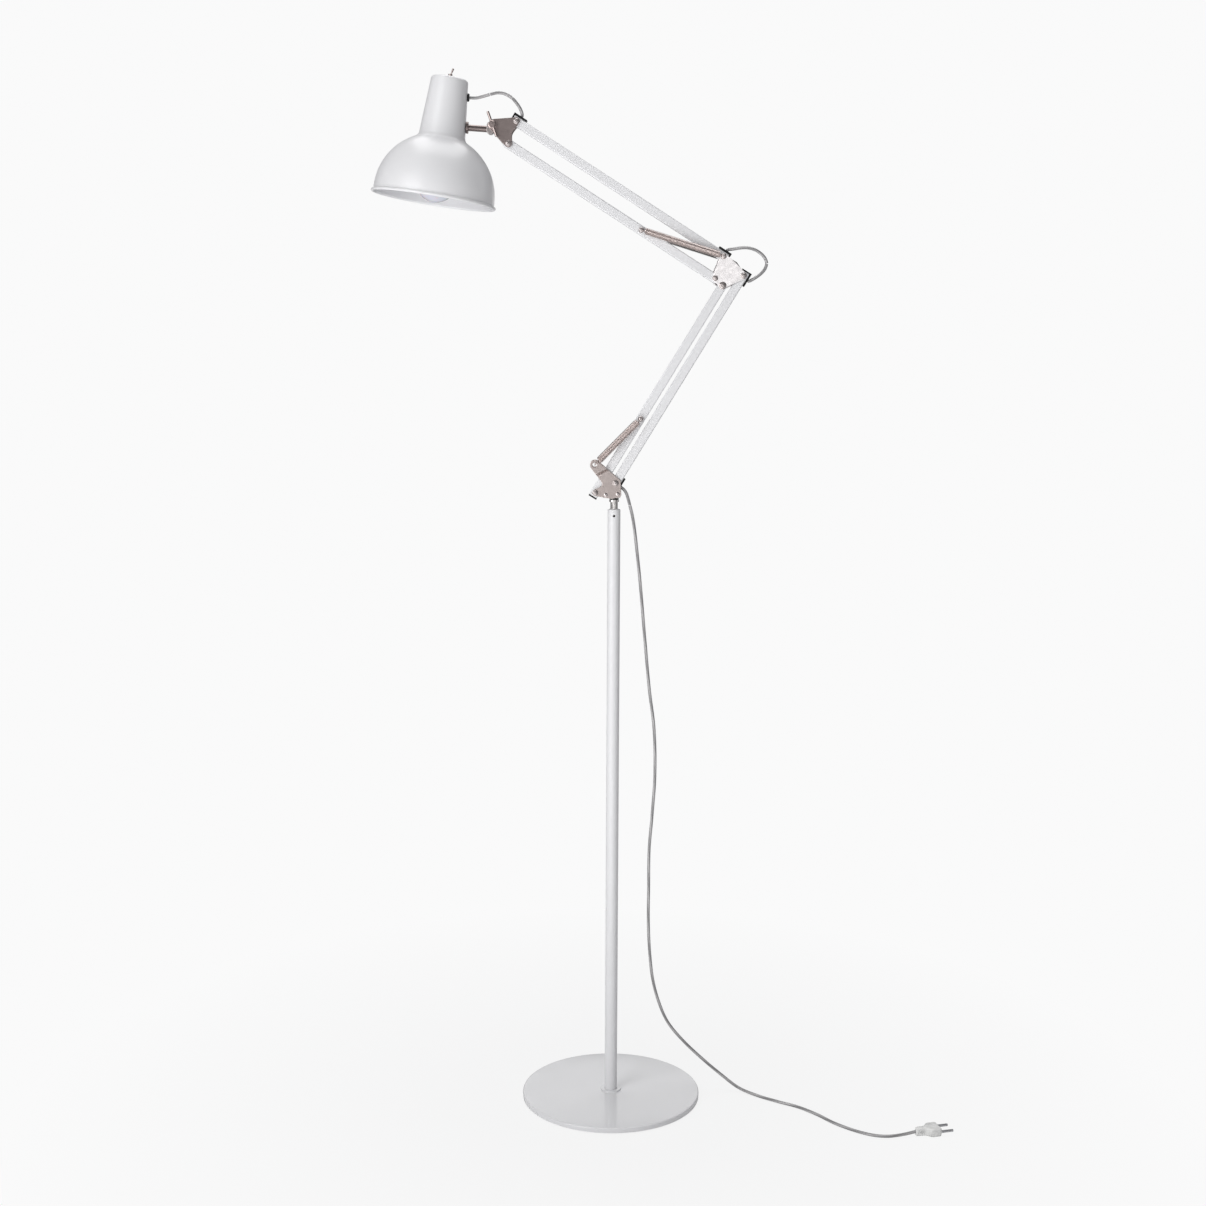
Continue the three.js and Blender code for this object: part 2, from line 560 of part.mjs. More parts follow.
function buildHeadBracket() {
  add('head_plate_front', headPlate(-PLATE_OUTER, -PLATE_INNER), NICKEL);
  const nut = towardsFront(rod(5, -PLATE_OUTER - 3.4, -PLATE_OUTER + 0.2, 6))
    .translate(CLAMP[0], 0, CLAMP[1]);
  const rear = join(headPlate(PLATE_INNER, PLATE_OUTER), nut);
  add('head_plate_rear', cut(rear, holeAlongY(...CLAMP, CLAMP_SHANK + 0.3, 16)), NICKEL);
  add('head_screw_top', pivotScrew({ headRadius: 4.4 }), NICKEL, frameAt(HEAD_TOP));
  add('head_screw_bottom', pivotScrew({ headRadius: 4.4 }), NICKEL, frameAt(HEAD_BOTTOM));
  add('clamp_tee', clampTee(), NICKEL, frameAt(CLAMP));
}

// ---------------------------------------------------------------- shade
const NECK_SLOPE = Math.atan2(NECK_LOW_RADIUS - NECK_TOP_RADIUS, NECK_TOP - NECK_START);
const neckRadius = (height) =>
  NECK_LOW_RADIUS - (height - NECK_START) * Math.tan(NECK_SLOPE);
const STEM_DROP = SHADE_TILT - NECK_SLOPE;      // the stem falls this much away from the shade

// Centre of the hollow corner, as [radius, height]: it touches the dome and the neck's cone.
function filletCentre() {
  const normal = [Math.cos(NECK_SLOPE), Math.sin(NECK_SLOPE)];
  const start = [NECK_LOW_RADIUS + NECK_FILLET * normal[0],
    NECK_START + NECK_FILLET * normal[1] - DOME_CENTRE];
  const reach = SHADE_RADIUS + NECK_FILLET;
  const half = start[0] * -normal[1] + start[1] * normal[0];
  const rest = start[0] ** 2 + start[1] ** 2 - reach ** 2;
  const along = -half + Math.sqrt(half * half - rest);
  return [start[0] - along * normal[1], start[1] + along * normal[0] + DOME_CENTRE];
}

const arc = ([r, z], radius, from, to, count) => Array.from({ length: count + 1 }, (_, i) => {
  const a = from + ((to - from) * i) / count;
  return [r + radius * Math.cos(a), z + radius * Math.sin(a)];
});

// The outline from the rim up to the neck's rounded top edge, set inwards by a wall thickness.
function shadeOutline(inset, rimHeight) {
  const corner = filletCentre();
  const radius = SHADE_RADIUS - inset;
  const lowest = Math.asin((rimHeight - DOME_CENTRE) / radius);
  const highest = Math.atan2(corner[1] - DOME_CENTRE, corner[0]);
  const edge = 4;
  const shoulder = [neckRadius(NECK_TOP - edge) - edge, NECK_TOP - edge];
  return [
    ...arc([0, DOME_CENTRE], radius, lowest, highest, 7),
    ...arc(corner, NECK_FILLET + inset, highest + Math.PI, NECK_SLOPE + Math.PI, 3).slice(1),
    ...arc(shoulder, edge - inset, NECK_SLOPE, Math.PI / 2, 3),
  ];
}

const TOGGLE_HOLE = 3.4;
const TOGGLE_PIVOT = NECK_TOP + 2.5;   // centre that the lever flicks about
const BUSH_TOP = NECK_TOP + 5.5;
const NECK_NORMAL = -NECK_SLOPE;       // about Y: turns +X to the neck's outward normal

// Places a shape that stands along +Z on the neck's +X side, pointing outwards.
function onNeck(geometry, height) {
  return geometry.rotateY(Math.PI / 2 + NECK_NORMAL)
    .translate(neckRadius(height), 0, height);
}

function shadeShell() {
  const bead = [-100, -40, 20, 80].map((a) => [
    SHADE_RADIUS + 1 + 2.1 * Math.cos(a * DEG), 0.6 + 2.1 * Math.sin(a * DEG)]);
  const outside = shadeOutline(0, 3.6);
  const inside = shadeOutline(SHADE_WALL, 1).reverse();
  const shell = turned([
    ...bead, ...outside, [TOGGLE_HOLE, NECK_TOP], [TOGGLE_HOLE, NECK_TOP - SHADE_WALL], ...inside,
  ], 44);
  return cut(shell, onNeck(rod(THREAD_RADIUS + 0.3, -8, 8, 16), STEM_HEIGHT),
    onNeck(rod(4.4, -8, 8, 16), GROMMET_HEIGHT));
}

function shadeGrommet() {
  return onNeck(turned([
    [CORD_RADIUS + 0.3, -3.6], [4.1, -3.6], [4.1, 0.2], [5.8, 0.4], [5.8, 2.2], [4.8, 2.9],
    [CORD_RADIUS + 0.3, 2.9]], 16), GROMMET_HEIGHT);
}

function toggleSwitch() {
  const under = NECK_TOP - SHADE_WALL - 0.2;
  return cut(join(
    box(-6, 6, -4, 4, under - 9, under),
    rod(3, under - 1, BUSH_TOP, 16),
    rod(4.6, NECK_TOP + 0.2, NECK_TOP + 2.2, 6),
  ), turned([[0, TOGGLE_PIVOT - 1], [1.2, TOGGLE_PIVOT - 1], [2.3, BUSH_TOP + 0.5],
    [0, BUSH_TOP + 0.5]], 16));
}

const LEVER_LEAN = 15 * DEG;
function toggleLever() {
  return turned([[0, 0.3], [0.75, 0.3], [0.8, 3.2], [1.45, 10.6], [1.25, 11.5], [0, 12]], 12)
    .rotateY(LEVER_LEAN).translate(0, 0, TOGGLE_PIVOT);
}

// Socket, with the strap that the stem's nut holds against the inside of the neck.
function lampholder() {
  const socket = turned([
    [0, 108], [14.4, 108], [14.4, 80], [17.5, 80], [17.5, 98], [18.6, 99], [18.6, 103],
    [17.2, 104], [16.6, 124], [12, 129], [6, 129], [6, 133], [0, 133]], 20);
  const strap = box(-7, 25.6, -6, 6, 131.6, 133.4);
  const leg = box(24, 25.6, -6, 6, 99, 133);
  const spacer = alongX(rod(6.4, 25, 29.2, 6)).translate(0, 0, STEM_HEIGHT);
  return join(socket, strap, leg, spacer);
}

// A hollow globe lamp with its cap; the cap's end is open, so that the inside isn't sealed.
function bulb() {
  const wall = 0.9;
  const globe = (radius) => Array.from({ length: 9 }, (_, i) => {
    const a = -90 * DEG + (i * 128 * DEG) / 8;
    return [i === 0 ? 0 : radius * Math.cos(a), BULB_HEIGHT + radius * Math.sin(a)];
  });
  const outside = [...globe(BULB_RADIUS), [16.4, 63], [14.2, 78], [13, 80], [13, 102],
    [6, 105.5], [3, 105.5]];
  const inside = [...globe(BULB_RADIUS - wall), [15.5, 63], [13.2, 78], [12.2, 80], [12.2, 101],
    [5, 104], [3, 104]];
  return turned([...outside, ...inside.reverse()], 24);
}

// Local X runs from the neck along the stem's axis: flange, rod, and an eye on the clamp screw.
function shadeStem() {
  const [x, z] = [CLAMP[0] - NECK_BOSS[0], CLAMP[1] - NECK_BOSS[1]];
  const eyeX = x * Math.cos(STEM_DROP) - z * Math.sin(STEM_DROP);
  const eyeZ = x * Math.sin(STEM_DROP) + z * Math.cos(STEM_DROP);
  const depth = PLATE_INNER - GAP;
  const knuckle = plate(outlineRound([[eyeX - 2.8, eyeZ - 7.4, 5.6], [eyeX, eyeZ, 6],
    [eyeX - 3.4, eyeZ - 0.6, 5]]), -depth, depth);
  const bar = alongX(turned([[0, -10.5], [THREAD_RADIUS, -10.5], [THREAD_RADIUS, GAP],
    [FLANGE_RADIUS, GAP], [FLANGE_RADIUS, FLANGE_THICKNESS], [STEM_RADIUS, FLANGE_THICKNESS],
    [STEM_RADIUS, eyeX - 4], [0, eyeX - 4]], 24));
  return cut(join(knuckle, bar), holeAlongY(eyeX, eyeZ, CLAMP_SHANK + 0.3, 16));
}

function buildHead() {
  const shade = new THREE.Group();
  const up = [Math.sin(SHADE_TILT), Math.cos(SHADE_TILT)];
  const side = [Math.cos(SHADE_TILT), -Math.sin(SHADE_TILT)];
  const out = neckRadius(STEM_HEIGHT);
  shade.position.set(NECK_BOSS[0] - up[0] * STEM_HEIGHT - side[0] * out, 0,
    NECK_BOSS[1] - up[1] * STEM_HEIGHT - side[1] * out);
  shade.rotation.y = SHADE_TILT;
  lamp.add(shade);

  add('shade_shell', shadeShell(), WHITE_PAINT, shade);
  add('shade_grommet', shadeGrommet(), BLACK_PLASTIC, shade);
  add('toggle_switch', toggleSwitch(), STEEL, shade);
  add('toggle_lever', toggleLever(), NICKEL, shade);
  add('bulb', bulb(), OPAL_GLASS, shade);
  const threadHole = onNeck(rod(THREAD_RADIUS + 0.3, -20, 8, 16), STEM_HEIGHT);
  add('lampholder', cut(lampholder(), threadHole), WHITE_PLASTIC, shade);
  add('shade_stem', shadeStem(), NICKEL, frameAt(NECK_BOSS, -STEM_DROP));
}

// ---------------------------------------------------------------- cords
// Short loops are held at both ends by the exit caps, and are split where they cross a joint.
// Points are [x, z] in the arm's middle plane, from one hole to the other.
const ELBOW_LOOP_LOWER = [
  [199.4, 1256.4], [205.7, 1260.2], [213.4, 1266], [218.6, 1272.4], [220.6, 1277.6],
  [220.9, 1279.6],
];
const ELBOW_LOOP_UPPER = [
  [220.9, 1280.3], [220.6, 1282.3], [217.8, 1288.4], [210.9, 1295.3], [202, 1300.2],
  [191.8, 1302.6], [181.6, 1302.2], [172, 1300.6],
];
const HEAD_LOOP_ARM = [[-136.2, 1491.6], [-138.8, 1497.8], [-142.7, 1503.9], [-147.2, 1509.4],
  [-149, 1511.2], [-150, 1512.1]];
const HEAD_LOOP_BRACKET = [
  [-150.5, 1512.5], [-151.6, 1513.4], [-155.4, 1515.8], [-163.3, 1519], [-172, 1519.6],
  [-180.2, 1517.9], [-181.8, 1517.5],
];
const HEAD_LOOP_SHADE = [[-182.5, 1517.3], [-184.1, 1516.9], [-193.6, 1514.2], [-201.6, 1512.4]];

// The long cord hangs beside the pole and lies on the floor: [x, y, z]. Its first stretch bends
// as the lower arm moves.
const MAIN_CORD_TOP = [[13.9, 949.3], [16.6, 946.2], [18.6, 942.5], [19.4, 940.2], [23.2, 926.6],
  [23.45, 925.6]];
const MAIN_CORD = [
  [23.6, 0, 925], [23.87, 0, 923.9], [28.2, 0, 905.7],
  [37.8, 0, 828.3], [48.2, 0, 716], [55.1, 0, 645], [62.6, 0, 586], [64.6, 0, 513],
  [60.6, 0, 447], [56.8, 0, 395], [56.6, 0, 341], [56.8, 0, 274], [60.2, 0, 219],
  [64.6, 2, 186], [73.2, 6, 152], [89, 12, 113.5], [115.5, 16, 79.5], [147, 18, 48.5],
  [176.5, 17, 23.5], [201, 12, 6.4], [226.5, -6.5, 2.6], [258.9, -30, 2.6], [286.7, -47.5, 2.6],
  [312.9, -73, 2.6], [337.4, -104, 2.6], [365.5, -129, 2.6], [389.2, -142.5, 2.6],
  [411.3, -146, 2.8], [434.5, -143.2, 4.6], [451.7, -138.8, 6.8],
];

// Two points on the axis of a tube's cord hole: just inside the cap's strip, and just outside.
function exitPoints(pivot, angle, along) {
  const [x, z] = step(pivot, angle, along);
  return [-0.7, 1.8].map((out) => [
    x + (STRIP_OUTER + out) * Math.sin(angle), z - (STRIP_OUTER + out) * Math.cos(angle)]);
}

// The same for the grommet in the shade's neck, from outside to inside.
function grommetPoints() {
  const onAxis = (out) => {
    const radial = neckRadius(GROMMET_HEIGHT) + out * Math.cos(NECK_SLOPE);
    const axial = GROMMET_HEIGHT - STEM_HEIGHT + out * Math.sin(NECK_SLOPE);
    const inward = neckRadius(STEM_HEIGHT);
    return [
      NECK_BOSS[0] + (radial - inward) * Math.cos(SHADE_TILT) + axial * Math.sin(SHADE_TILT),
      NECK_BOSS[1] - (radial - inward) * Math.sin(SHADE_TILT) + axial * Math.cos(SHADE_TILT)];
  };
  return [onAxis(5), onAxis(1.5)];
}

const inPlane = (points) => points.map(([x, z]) => [x, 0, z]);

function buildCords() {
  const elbowStart = exitPoints(ELBOW_RIGHT, LOWER_ANGLE, -CORD_EXITS.elbow);
  const elbowEnd = exitPoints(ELBOW_TOP, UPPER_ANGLE, CORD_EXITS.elbowTop).reverse();
  add('elbow_cord_lower', cordAlong(inPlane([...elbowStart, ...ELBOW_LOOP_LOWER]), 12), CLEAR_CORD);
  add('elbow_cord_upper', cordAlong(inPlane([...ELBOW_LOOP_UPPER, ...elbowEnd]), 14), CLEAR_CORD);

  const headStart = exitPoints(HEAD_TOP, UPPER_ANGLE, -CORD_EXITS.head);
  add('head_cord_arm', cordAlong(inPlane([...headStart, ...HEAD_LOOP_ARM]), 10), CLEAR_CORD);
  add('head_cord_bracket', cordAlong(inPlane(HEAD_LOOP_BRACKET), 8), CLEAR_CORD);
  add('head_cord_shade', cordAlong(inPlane([...HEAD_LOOP_SHADE, ...grommetPoints()]), 10),
    CLEAR_CORD);

  const mainStart = exitPoints(LOWER_RIGHT, LOWER_ANGLE, CORD_EXITS.base);
  add('main_cord_top', cordAlong(inPlane([...mainStart, ...MAIN_CORD_TOP]), 8), CLEAR_CORD);
  add('main_cord', cordAlong(MAIN_CORD, 80), CLEAR_CORD);
}

// A flat two-pin plug lying on the floor in line with the cord's end.
function buildPlug() {
  const end = MAIN_CORD[MAIN_CORD.length - 1];
  const plug = new THREE.Group();
  plug.position.set(...end);
  plug.rotation.z = Math.atan2(4.4, 17.2);
  lamp.add(plug);
  const outline = new THREE.Shape([
    [0.4, -3.2], [14, -4], [22, -12], [34, -12.5], [38, -10.5], [38, 10.5], [34, 12.5],
    [22, 12], [14, 4], [0.4, 3.2],
  ].map(([x, y]) => new THREE.Vector2(x, y)));
  const body = new THREE.ExtrudeGeometry(outline, { depth: 13, bevelEnabled: false })
    .translate(0, 0, 0.2 - end[2]);
  const pins = [-9.5, 9.5].map((y) => alongX(rod(2, 30, 56.5, 12)).translate(0, y, 0));
  const sockets = [-9.5, 9.5].map((y) => alongX(rod(2.2, 29.7, 60, 12)).translate(0, y, 0));
  add('plug_body', cut(body, ...sockets), WHITE_PLASTIC, plug);
  add('plug_pin_left', pins[1], STEEL, plug);
  add('plug_pin_right', pins[0], STEEL, plug);
}

buildBase();
buildPole();
buildSwivel();
buildLowerArm();
buildUpperArm();
buildSprings();
buildElbow();
buildHeadBracket();
buildHead();
buildCords();
buildPlug();

export default lamp;
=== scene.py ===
"""Adjustable arm floor lamp: the looks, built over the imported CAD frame.

Metres, +Z up, in the CAD's own frame: the origin is the centre of the base's underside, the arm
folds in the XZ plane with the shade towards -X, and the front of the lamp faces -Y.
"""

import json
import math

import bmesh
import bpy
from mathutils import Matrix, Vector


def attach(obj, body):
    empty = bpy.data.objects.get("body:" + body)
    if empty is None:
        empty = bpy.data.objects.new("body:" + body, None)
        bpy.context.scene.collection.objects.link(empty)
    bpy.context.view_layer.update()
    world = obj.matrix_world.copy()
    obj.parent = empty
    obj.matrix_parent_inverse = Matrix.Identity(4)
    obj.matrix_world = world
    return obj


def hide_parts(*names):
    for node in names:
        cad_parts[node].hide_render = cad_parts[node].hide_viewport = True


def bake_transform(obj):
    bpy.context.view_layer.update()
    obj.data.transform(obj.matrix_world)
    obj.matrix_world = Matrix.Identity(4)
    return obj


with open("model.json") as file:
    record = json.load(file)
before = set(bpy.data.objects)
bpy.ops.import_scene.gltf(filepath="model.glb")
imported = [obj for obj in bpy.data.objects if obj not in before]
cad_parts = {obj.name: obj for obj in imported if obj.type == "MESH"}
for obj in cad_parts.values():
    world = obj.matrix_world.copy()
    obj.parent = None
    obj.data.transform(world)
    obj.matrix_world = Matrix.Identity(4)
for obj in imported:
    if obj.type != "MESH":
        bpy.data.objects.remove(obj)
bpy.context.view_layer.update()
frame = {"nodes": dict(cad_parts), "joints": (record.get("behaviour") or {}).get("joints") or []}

MM = 0.001
Y_AXIS = Vector((0, 1, 0))
Z_AXIS = Vector((0, 0, 1))

# ------------------------------------------------------------------ places, from the frame
NODES = frame["nodes"]
PIVOT = {j["name"]: Vector(j["pos_m"]) for j in frame["joints"]}
LOWER_RIGHT = PIVOT["lower_arm"]
LOWER_LEFT = PIVOT["lower_left_follow"]
ELBOW_RIGHT = PIVOT["elbow_level"]
ELBOW_TOP = PIVOT["upper_arm"]
ELBOW_LEFT = PIVOT["upper_bottom_follow"]
HEAD_TOP = PIVOT["head_level"]
CLAMP = PIVOT["head_tilt"]
NECK_BOSS = PIVOT["shade_turn"]
ELBOW_BOTTOM = LOWER_LEFT + (ELBOW_RIGHT - LOWER_RIGHT)
HEAD_BOTTOM = ELBOW_LEFT + (HEAD_TOP - ELBOW_TOP)
LOWER_DIRECTION = (ELBOW_RIGHT - LOWER_RIGHT).normalized()
UPPER_DIRECTION = (HEAD_TOP - ELBOW_TOP).normalized()

PLATE_INNER = 7.3 * MM          # bracket plates, from the arm's middle plane
PLATE_OUTER = 9.1 * MM
CORD_RADIUS = 2.3 * MM


def mm(*values):
    return Vector(values) * MM


# ------------------------------------------------------------------ mesh helpers
def new_object(name, mesh):
    obj = bpy.data.objects.new(name, mesh)
    bpy.context.scene.collection.objects.link(obj)
    return obj


def object_from(name, vertices, faces):
    mesh = bpy.data.meshes.new(name)
    mesh.from_pydata([tuple(v) for v in vertices], [], faces)
    mesh.validate()
    return new_object(name, mesh)


def soften(obj, angle=35):
    """Smooth shading, with edges sharper than the angle kept crisp."""
    mesh = obj.data
    mesh.polygons.foreach_set("use_smooth", [True] * len(mesh.polygons))
    mesh.set_sharp_from_angle(angle=math.radians(angle))
    return obj


def round_edges(obj, width, segments=2, angle=40):
    """A small bevel on every edge sharper than the angle."""
    bevel = obj.modifiers.new("edges", "BEVEL")
    bevel.width = width
    bevel.segments = segments
    bevel.limit_method = "ANGLE"
    bevel.angle_limit = math.radians(angle)
    bevel.harden_normals = True
    return obj


def joined(name, *objects):
    """One object holding the others' meshes, modifiers applied."""
    graph = bpy.context.evaluated_depsgraph_get()
    build = bmesh.new()
    for obj in objects:
        mesh = bpy.data.meshes.new_from_object(obj.evaluated_get(graph))
        mesh.transform(obj.matrix_world)
        build.from_mesh(mesh)
        bpy.data.meshes.remove(mesh)
    mesh = bpy.data.meshes.new(name)
    build.to_mesh(mesh)
    build.free()
    for obj in objects:
        bpy.data.objects.remove(obj)
    return new_object(name, mesh)


def cut_by(obj, cutter):
    """The object less the cutter, as a plain mesh."""
    boolean = obj.modifiers.new("cut", "BOOLEAN")
    boolean.operation = "DIFFERENCE"
    boolean.solver = "EXACT"
    boolean.object = cutter
    name = obj.name
    obj.name = name + "_uncut"
    made = joined(name, obj)
    bpy.data.objects.remove(cutter)
    return made


def basis(origin, x_axis, y_axis=Y_AXIS):
    """A frame with its X along x_axis and its Z square to that and to y_axis."""
    x = Vector(x_axis).normalized()
    z = x.cross(y_axis).normalized()
    y = z.cross(x)
    rotation = Matrix((x, y, z)).transposed().to_4x4()
    return Matrix.Translation(origin) @ rotation


def turned(name, profile, sides=64, place=Matrix.Identity(4)):
    """Turned about the place's Z from (radius, height) points; closed unless it ends on the axis."""
    vertices, rings = [], []
    for radius, height in profile:
        if radius < 1e-9:
            rings.append([len(vertices)])
            vertices.append(place @ Vector((0, 0, height)))
            continue
        rings.append(list(range(len(vertices), len(vertices) + sides)))
        for i in range(sides):
            angle = 2 * math.pi * i / sides
            vertices.append(
                place @ Vector((radius * math.cos(angle), radius * math.sin(angle), height))
            )
    faces = []
    pairs = list(zip(rings, rings[1:]))
    if len(rings[0]) > 1 and len(rings[-1]) > 1:
        pairs.append((rings[-1], rings[0]))
    for low, high in pairs:
        for i in range(sides):
            j = (i + 1) % sides
            if len(low) == 1 and len(high) == 1:
                continue
            if len(low) == 1:
                faces.append((low[0], high[j], high[i]))
            elif len(high) == 1:
                faces.append((low[i], low[j], high[0]))
            else:
                faces.append((low[i], low[j], high[j], high[i]))
    return object_from(name, vertices, faces)


def arc(centre, radius, start, end, count):
    """Points on an arc about centre, with angles in degrees."""
    points = []
    for i in range(count + 1):
        angle = math.radians(start + (end - start) * i / count)
        points.append(
            (centre[0] + radius * math.cos(angle), centre[1] + radius * math.sin(angle))
        )
    return points


def smooth_line(points, step):
    """Points about a step apart along a centripetal curve through the given ones."""
    points = [Vector(p) for p in points]
    ends = [2 * points[0] - points[1], *points, 2 * points[-1] - points[-2]]
    line = []
    for p0, p1, p2, p3 in zip(ends, ends[1:], ends[2:], ends[3:]):
        t1 = math.sqrt((p1 - p0).length)
        t2 = t1 + math.sqrt((p2 - p1).length)
        t3 = t2 + math.sqrt((p3 - p2).length)
        count = max(1, round((p2 - p1).length / step))
        for i in range(count):
            t = t1 + (t2 - t1) * i / count
            a1 = p0 * ((t1 - t) / t1) + p1 * (t / t1)
            a2 = p1 * ((t2 - t) / (t2 - t1)) + p2 * ((t - t1) / (t2 - t1))
            a3 = p2 * ((t3 - t) / (t3 - t2)) + p3 * ((t - t2) / (t3 - t2))
            b1 = a1 * ((t2 - t) / t2) + a2 * (t / t2)
            b2 = a2 * ((t3 - t) / (t3 - t1)) + a3 * ((t - t1) / (t3 - t1))
            line.append(b1 * ((t2 - t) / (t2 - t1)) + b2 * ((t - t1) / (t2 - t1)))
    line.append(points[-1])
    return line


def swept(name, line, radius, sides=12, start_normal=Z_AXIS):
    """A round tube along a line, closed at both ends. Its UV is (along in metres, around)."""
    line = [Vector(p) for p in line]
    mesh_build = bmesh.new()
    uv_layer = mesh_build.loops.layers.uv.new("UVMap")
    rings, lengths, along = [], [], 0.0
    normal = Vector(start_normal)
    for i, point in enumerate(line):
        ahead = line[min(i + 1, len(line) - 1)] - line[max(i - 1, 0)]
        tangent = ahead.normalized()
        normal = (normal - normal.dot(tangent) * tangent).normalized()
        side = tangent.cross(normal)
        ring = []
        for k in range(sides):
            angle = 2 * math.pi * k / sides
            offset = normal * math.cos(angle) + side * math.sin(angle)
            ring.append(mesh_build.verts.new(point + offset * radius))
        if i:
            along += (point - line[i - 1]).length
        rings.append(ring)
        lengths.append(along)
    for i in range(len(rings) - 1):
        for k in range(sides):
            j = (k + 1) % sides
            face = mesh_build.faces.new(
                (rings[i][k], rings[i][j], rings[i + 1][j], rings[i + 1][k])
            )
            corners = ((i, k), (i, k + 1), (i + 1, k + 1), (i + 1, k))
            for loop, (row, column) in zip(face.loops, corners):
                loop[uv_layer].uv = (lengths[row], column / sides)
    mesh_build.faces.new(list(reversed(rings[0])))
    mesh_build.faces.new(rings[-1])
    mesh = bpy.data.meshes.new(name)
    mesh_build.to_mesh(mesh)
    mesh_build.free()
    return soften(new_object(name, mesh), 50)


def outline_round(circles, spacing=8):
    """An outline round circles (x, z, radius), anticlockwise, joined by common tangents; a
    negative radius makes a hollow corner, and spacing is the arc step in degrees."""
    count = len(circles)
    normals = []
    for i, (x, z, r) in enumerate(circles):
        nx, nz, nr = circles[(i + 1) % count]
        length = math.hypot(nx - x, nz - z)
        dx, dz = (nx - x) / length, (nz - z) / length
        lean = (r - nr) / length
        across = math.sqrt(1 - lean * lean)
        normals.append((dx * lean + dz * across, dz * lean - dx * across))
    points = []
    for i, (x, z, r) in enumerate(circles):
        start = math.degrees(math.atan2(normals[i - 1][1], normals[i - 1][0]))
        end = math.degrees(math.atan2(normals[i][1], normals[i][0]))
        sweep = (end - start) % 360 if r > 0 else -((start - end) % 360)
        points += arc((x, z), r, start, start + sweep, max(2, round(abs(sweep) / spacing)))
    return points


def flat_plate(name, outline, holes, y_inner, y_outer, edge=0.3 * MM):
    """A plate in the XZ plane with round holes (x, z, radius) and slightly rounded edges."""
    curve = bpy.data.curves.new(name, "CURVE")
    curve.dimensions = "2D"
    curve.fill_mode = "BOTH"
    loops = [outline] + [arc((x, z), r, 0, 350, 35) for x, z, r in holes]
    for loop in loops:
        spline = curve.splines.new("POLY")
        spline.points.add(len(loop) - 1)
        for point, (x, z) in zip(spline.points, loop):
            point.co = (x, z, 0, 1)
        spline.use_cyclic_u = True
    curve.extrude = abs(y_outer - y_inner) / 2 - edge
    curve.bevel_depth = edge
    curve.bevel_resolution = 2
    curve.offset = -edge
    flat = bpy.data.objects.new(name + "_outline", curve)
    bpy.context.scene.collection.objects.link(flat)
    flat.matrix_world = Matrix.Translation((0, (y_inner + y_outer) / 2, 0)) @ Matrix.Rotation(
        math.pi / 2, 4, "X"
    )
    bpy.context.view_layer.update()
    made = joined(name, flat)
    build = bmesh.new()
    build.from_mesh(made.data)
    bmesh.ops.remove_doubles(build, verts=build.verts, dist=1e-6)
    bmesh.ops.recalc_face_normals(build, faces=build.faces)
    build.to_mesh(made.data)
    build.free()
    return soften_plate(made)


def soften_plate(obj):
    """Smooth edges round flat faces: the faces square to Y stay flat-shaded."""
    soften(obj, 30)
    for polygon in obj.data.polygons:
        polygon.use_smooth = abs(polygon.normal.y) < 0.9999
    return obj


def finished(obj, material, body=None, stands_for=()):
    """Gives a piece its material, and its place in the frame."""
    obj.data.materials.clear()
    obj.data.materials.append(material)
    if body:
        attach(obj, body)
    if stands_for:
        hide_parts(*stands_for)
    return obj


# ------------------------------------------------------------------ materials
class Surface:
    """A node material with short ways to add nodes to its Principled shader."""

    def __init__(self, name, colour, roughness, metallic=0.0):
        self.material = bpy.data.materials.new(name)
        self.material.use_nodes = True
        self.nodes = self.material.node_tree.nodes
        self.links = self.material.node_tree.links
        self.shader = self.nodes["Principled BSDF"]
        self.colour = colour
        self.roughness = roughness
        self.shader.inputs["Base Color"].default_value = (*colour, 1)
        self.shader.inputs["Roughness"].default_value = roughness
        self.shader.inputs["Metallic"].default_value = metallic

    def set(self, socket, value):
        self.shader.inputs[socket].default_value = value
        return self

    def place(self, stretch=(1, 1, 1), coordinate="Object"):
        coordinates = self.nodes.new("ShaderNodeTexCoord")
        mapping = self.nodes.new("ShaderNodeMapping")
        mapping.inputs["Scale"].default_value = stretch
        self.links.new(coordinates.outputs[coordinate], mapping.inputs["Vector"])
        return mapping.outputs["Vector"]

    def noise(self, scale, detail=3.0, stretch=(1, 1, 1)):
        texture = self.nodes.new("ShaderNodeTexNoise")
        texture.inputs["Scale"].default_value = scale
        texture.inputs["Detail"].default_value = detail
        self.links.new(self.place(stretch), texture.inputs["Vector"])
        return texture.outputs["Fac"]

    def range(self, value, low, high, start=0.3, end=0.7):
        mapped = self.nodes.new("ShaderNodeMapRange")
        for socket, number in zip(("From Min", "From Max", "To Min", "To Max"),
                                  (start, end, low, high)):
            mapped.inputs[socket].default_value = number
        self.links.new(value, mapped.inputs["Value"])
        return mapped.outputs["Result"]

    def vary_roughness(self, value, spread):
        low, high = self.roughness - spread, self.roughness + spread
        self.links.new(self.range(value, low, high), self.shader.inputs["Roughness"])
        return self

    def vary_colour(self, value, other, start=0.3, end=0.7):
        ramp = self.nodes.new("ShaderNodeValToRGB")
        ramp.color_ramp.elements[0].position = start
        ramp.color_ramp.elements[0].color = (*self.colour, 1)
        ramp.color_ramp.elements[1].position = end
        ramp.color_ramp.elements[1].color = (*other, 1)
        self.links.new(value, ramp.inputs["Fac"])
        self.links.new(ramp.outputs["Color"], self.shader.inputs["Base Color"])
        return self

    def bump(self, value, distance, strength=0.5):
        bump = self.nodes.new("ShaderNodeBump")
        bump.inputs["Strength"].default_value = strength
        bump.inputs["Distance"].default_value = distance
        self.links.new(value, bump.inputs["Height"])
        self.links.new(bump.outputs["Normal"], self.shader.inputs["Normal"])
        return self


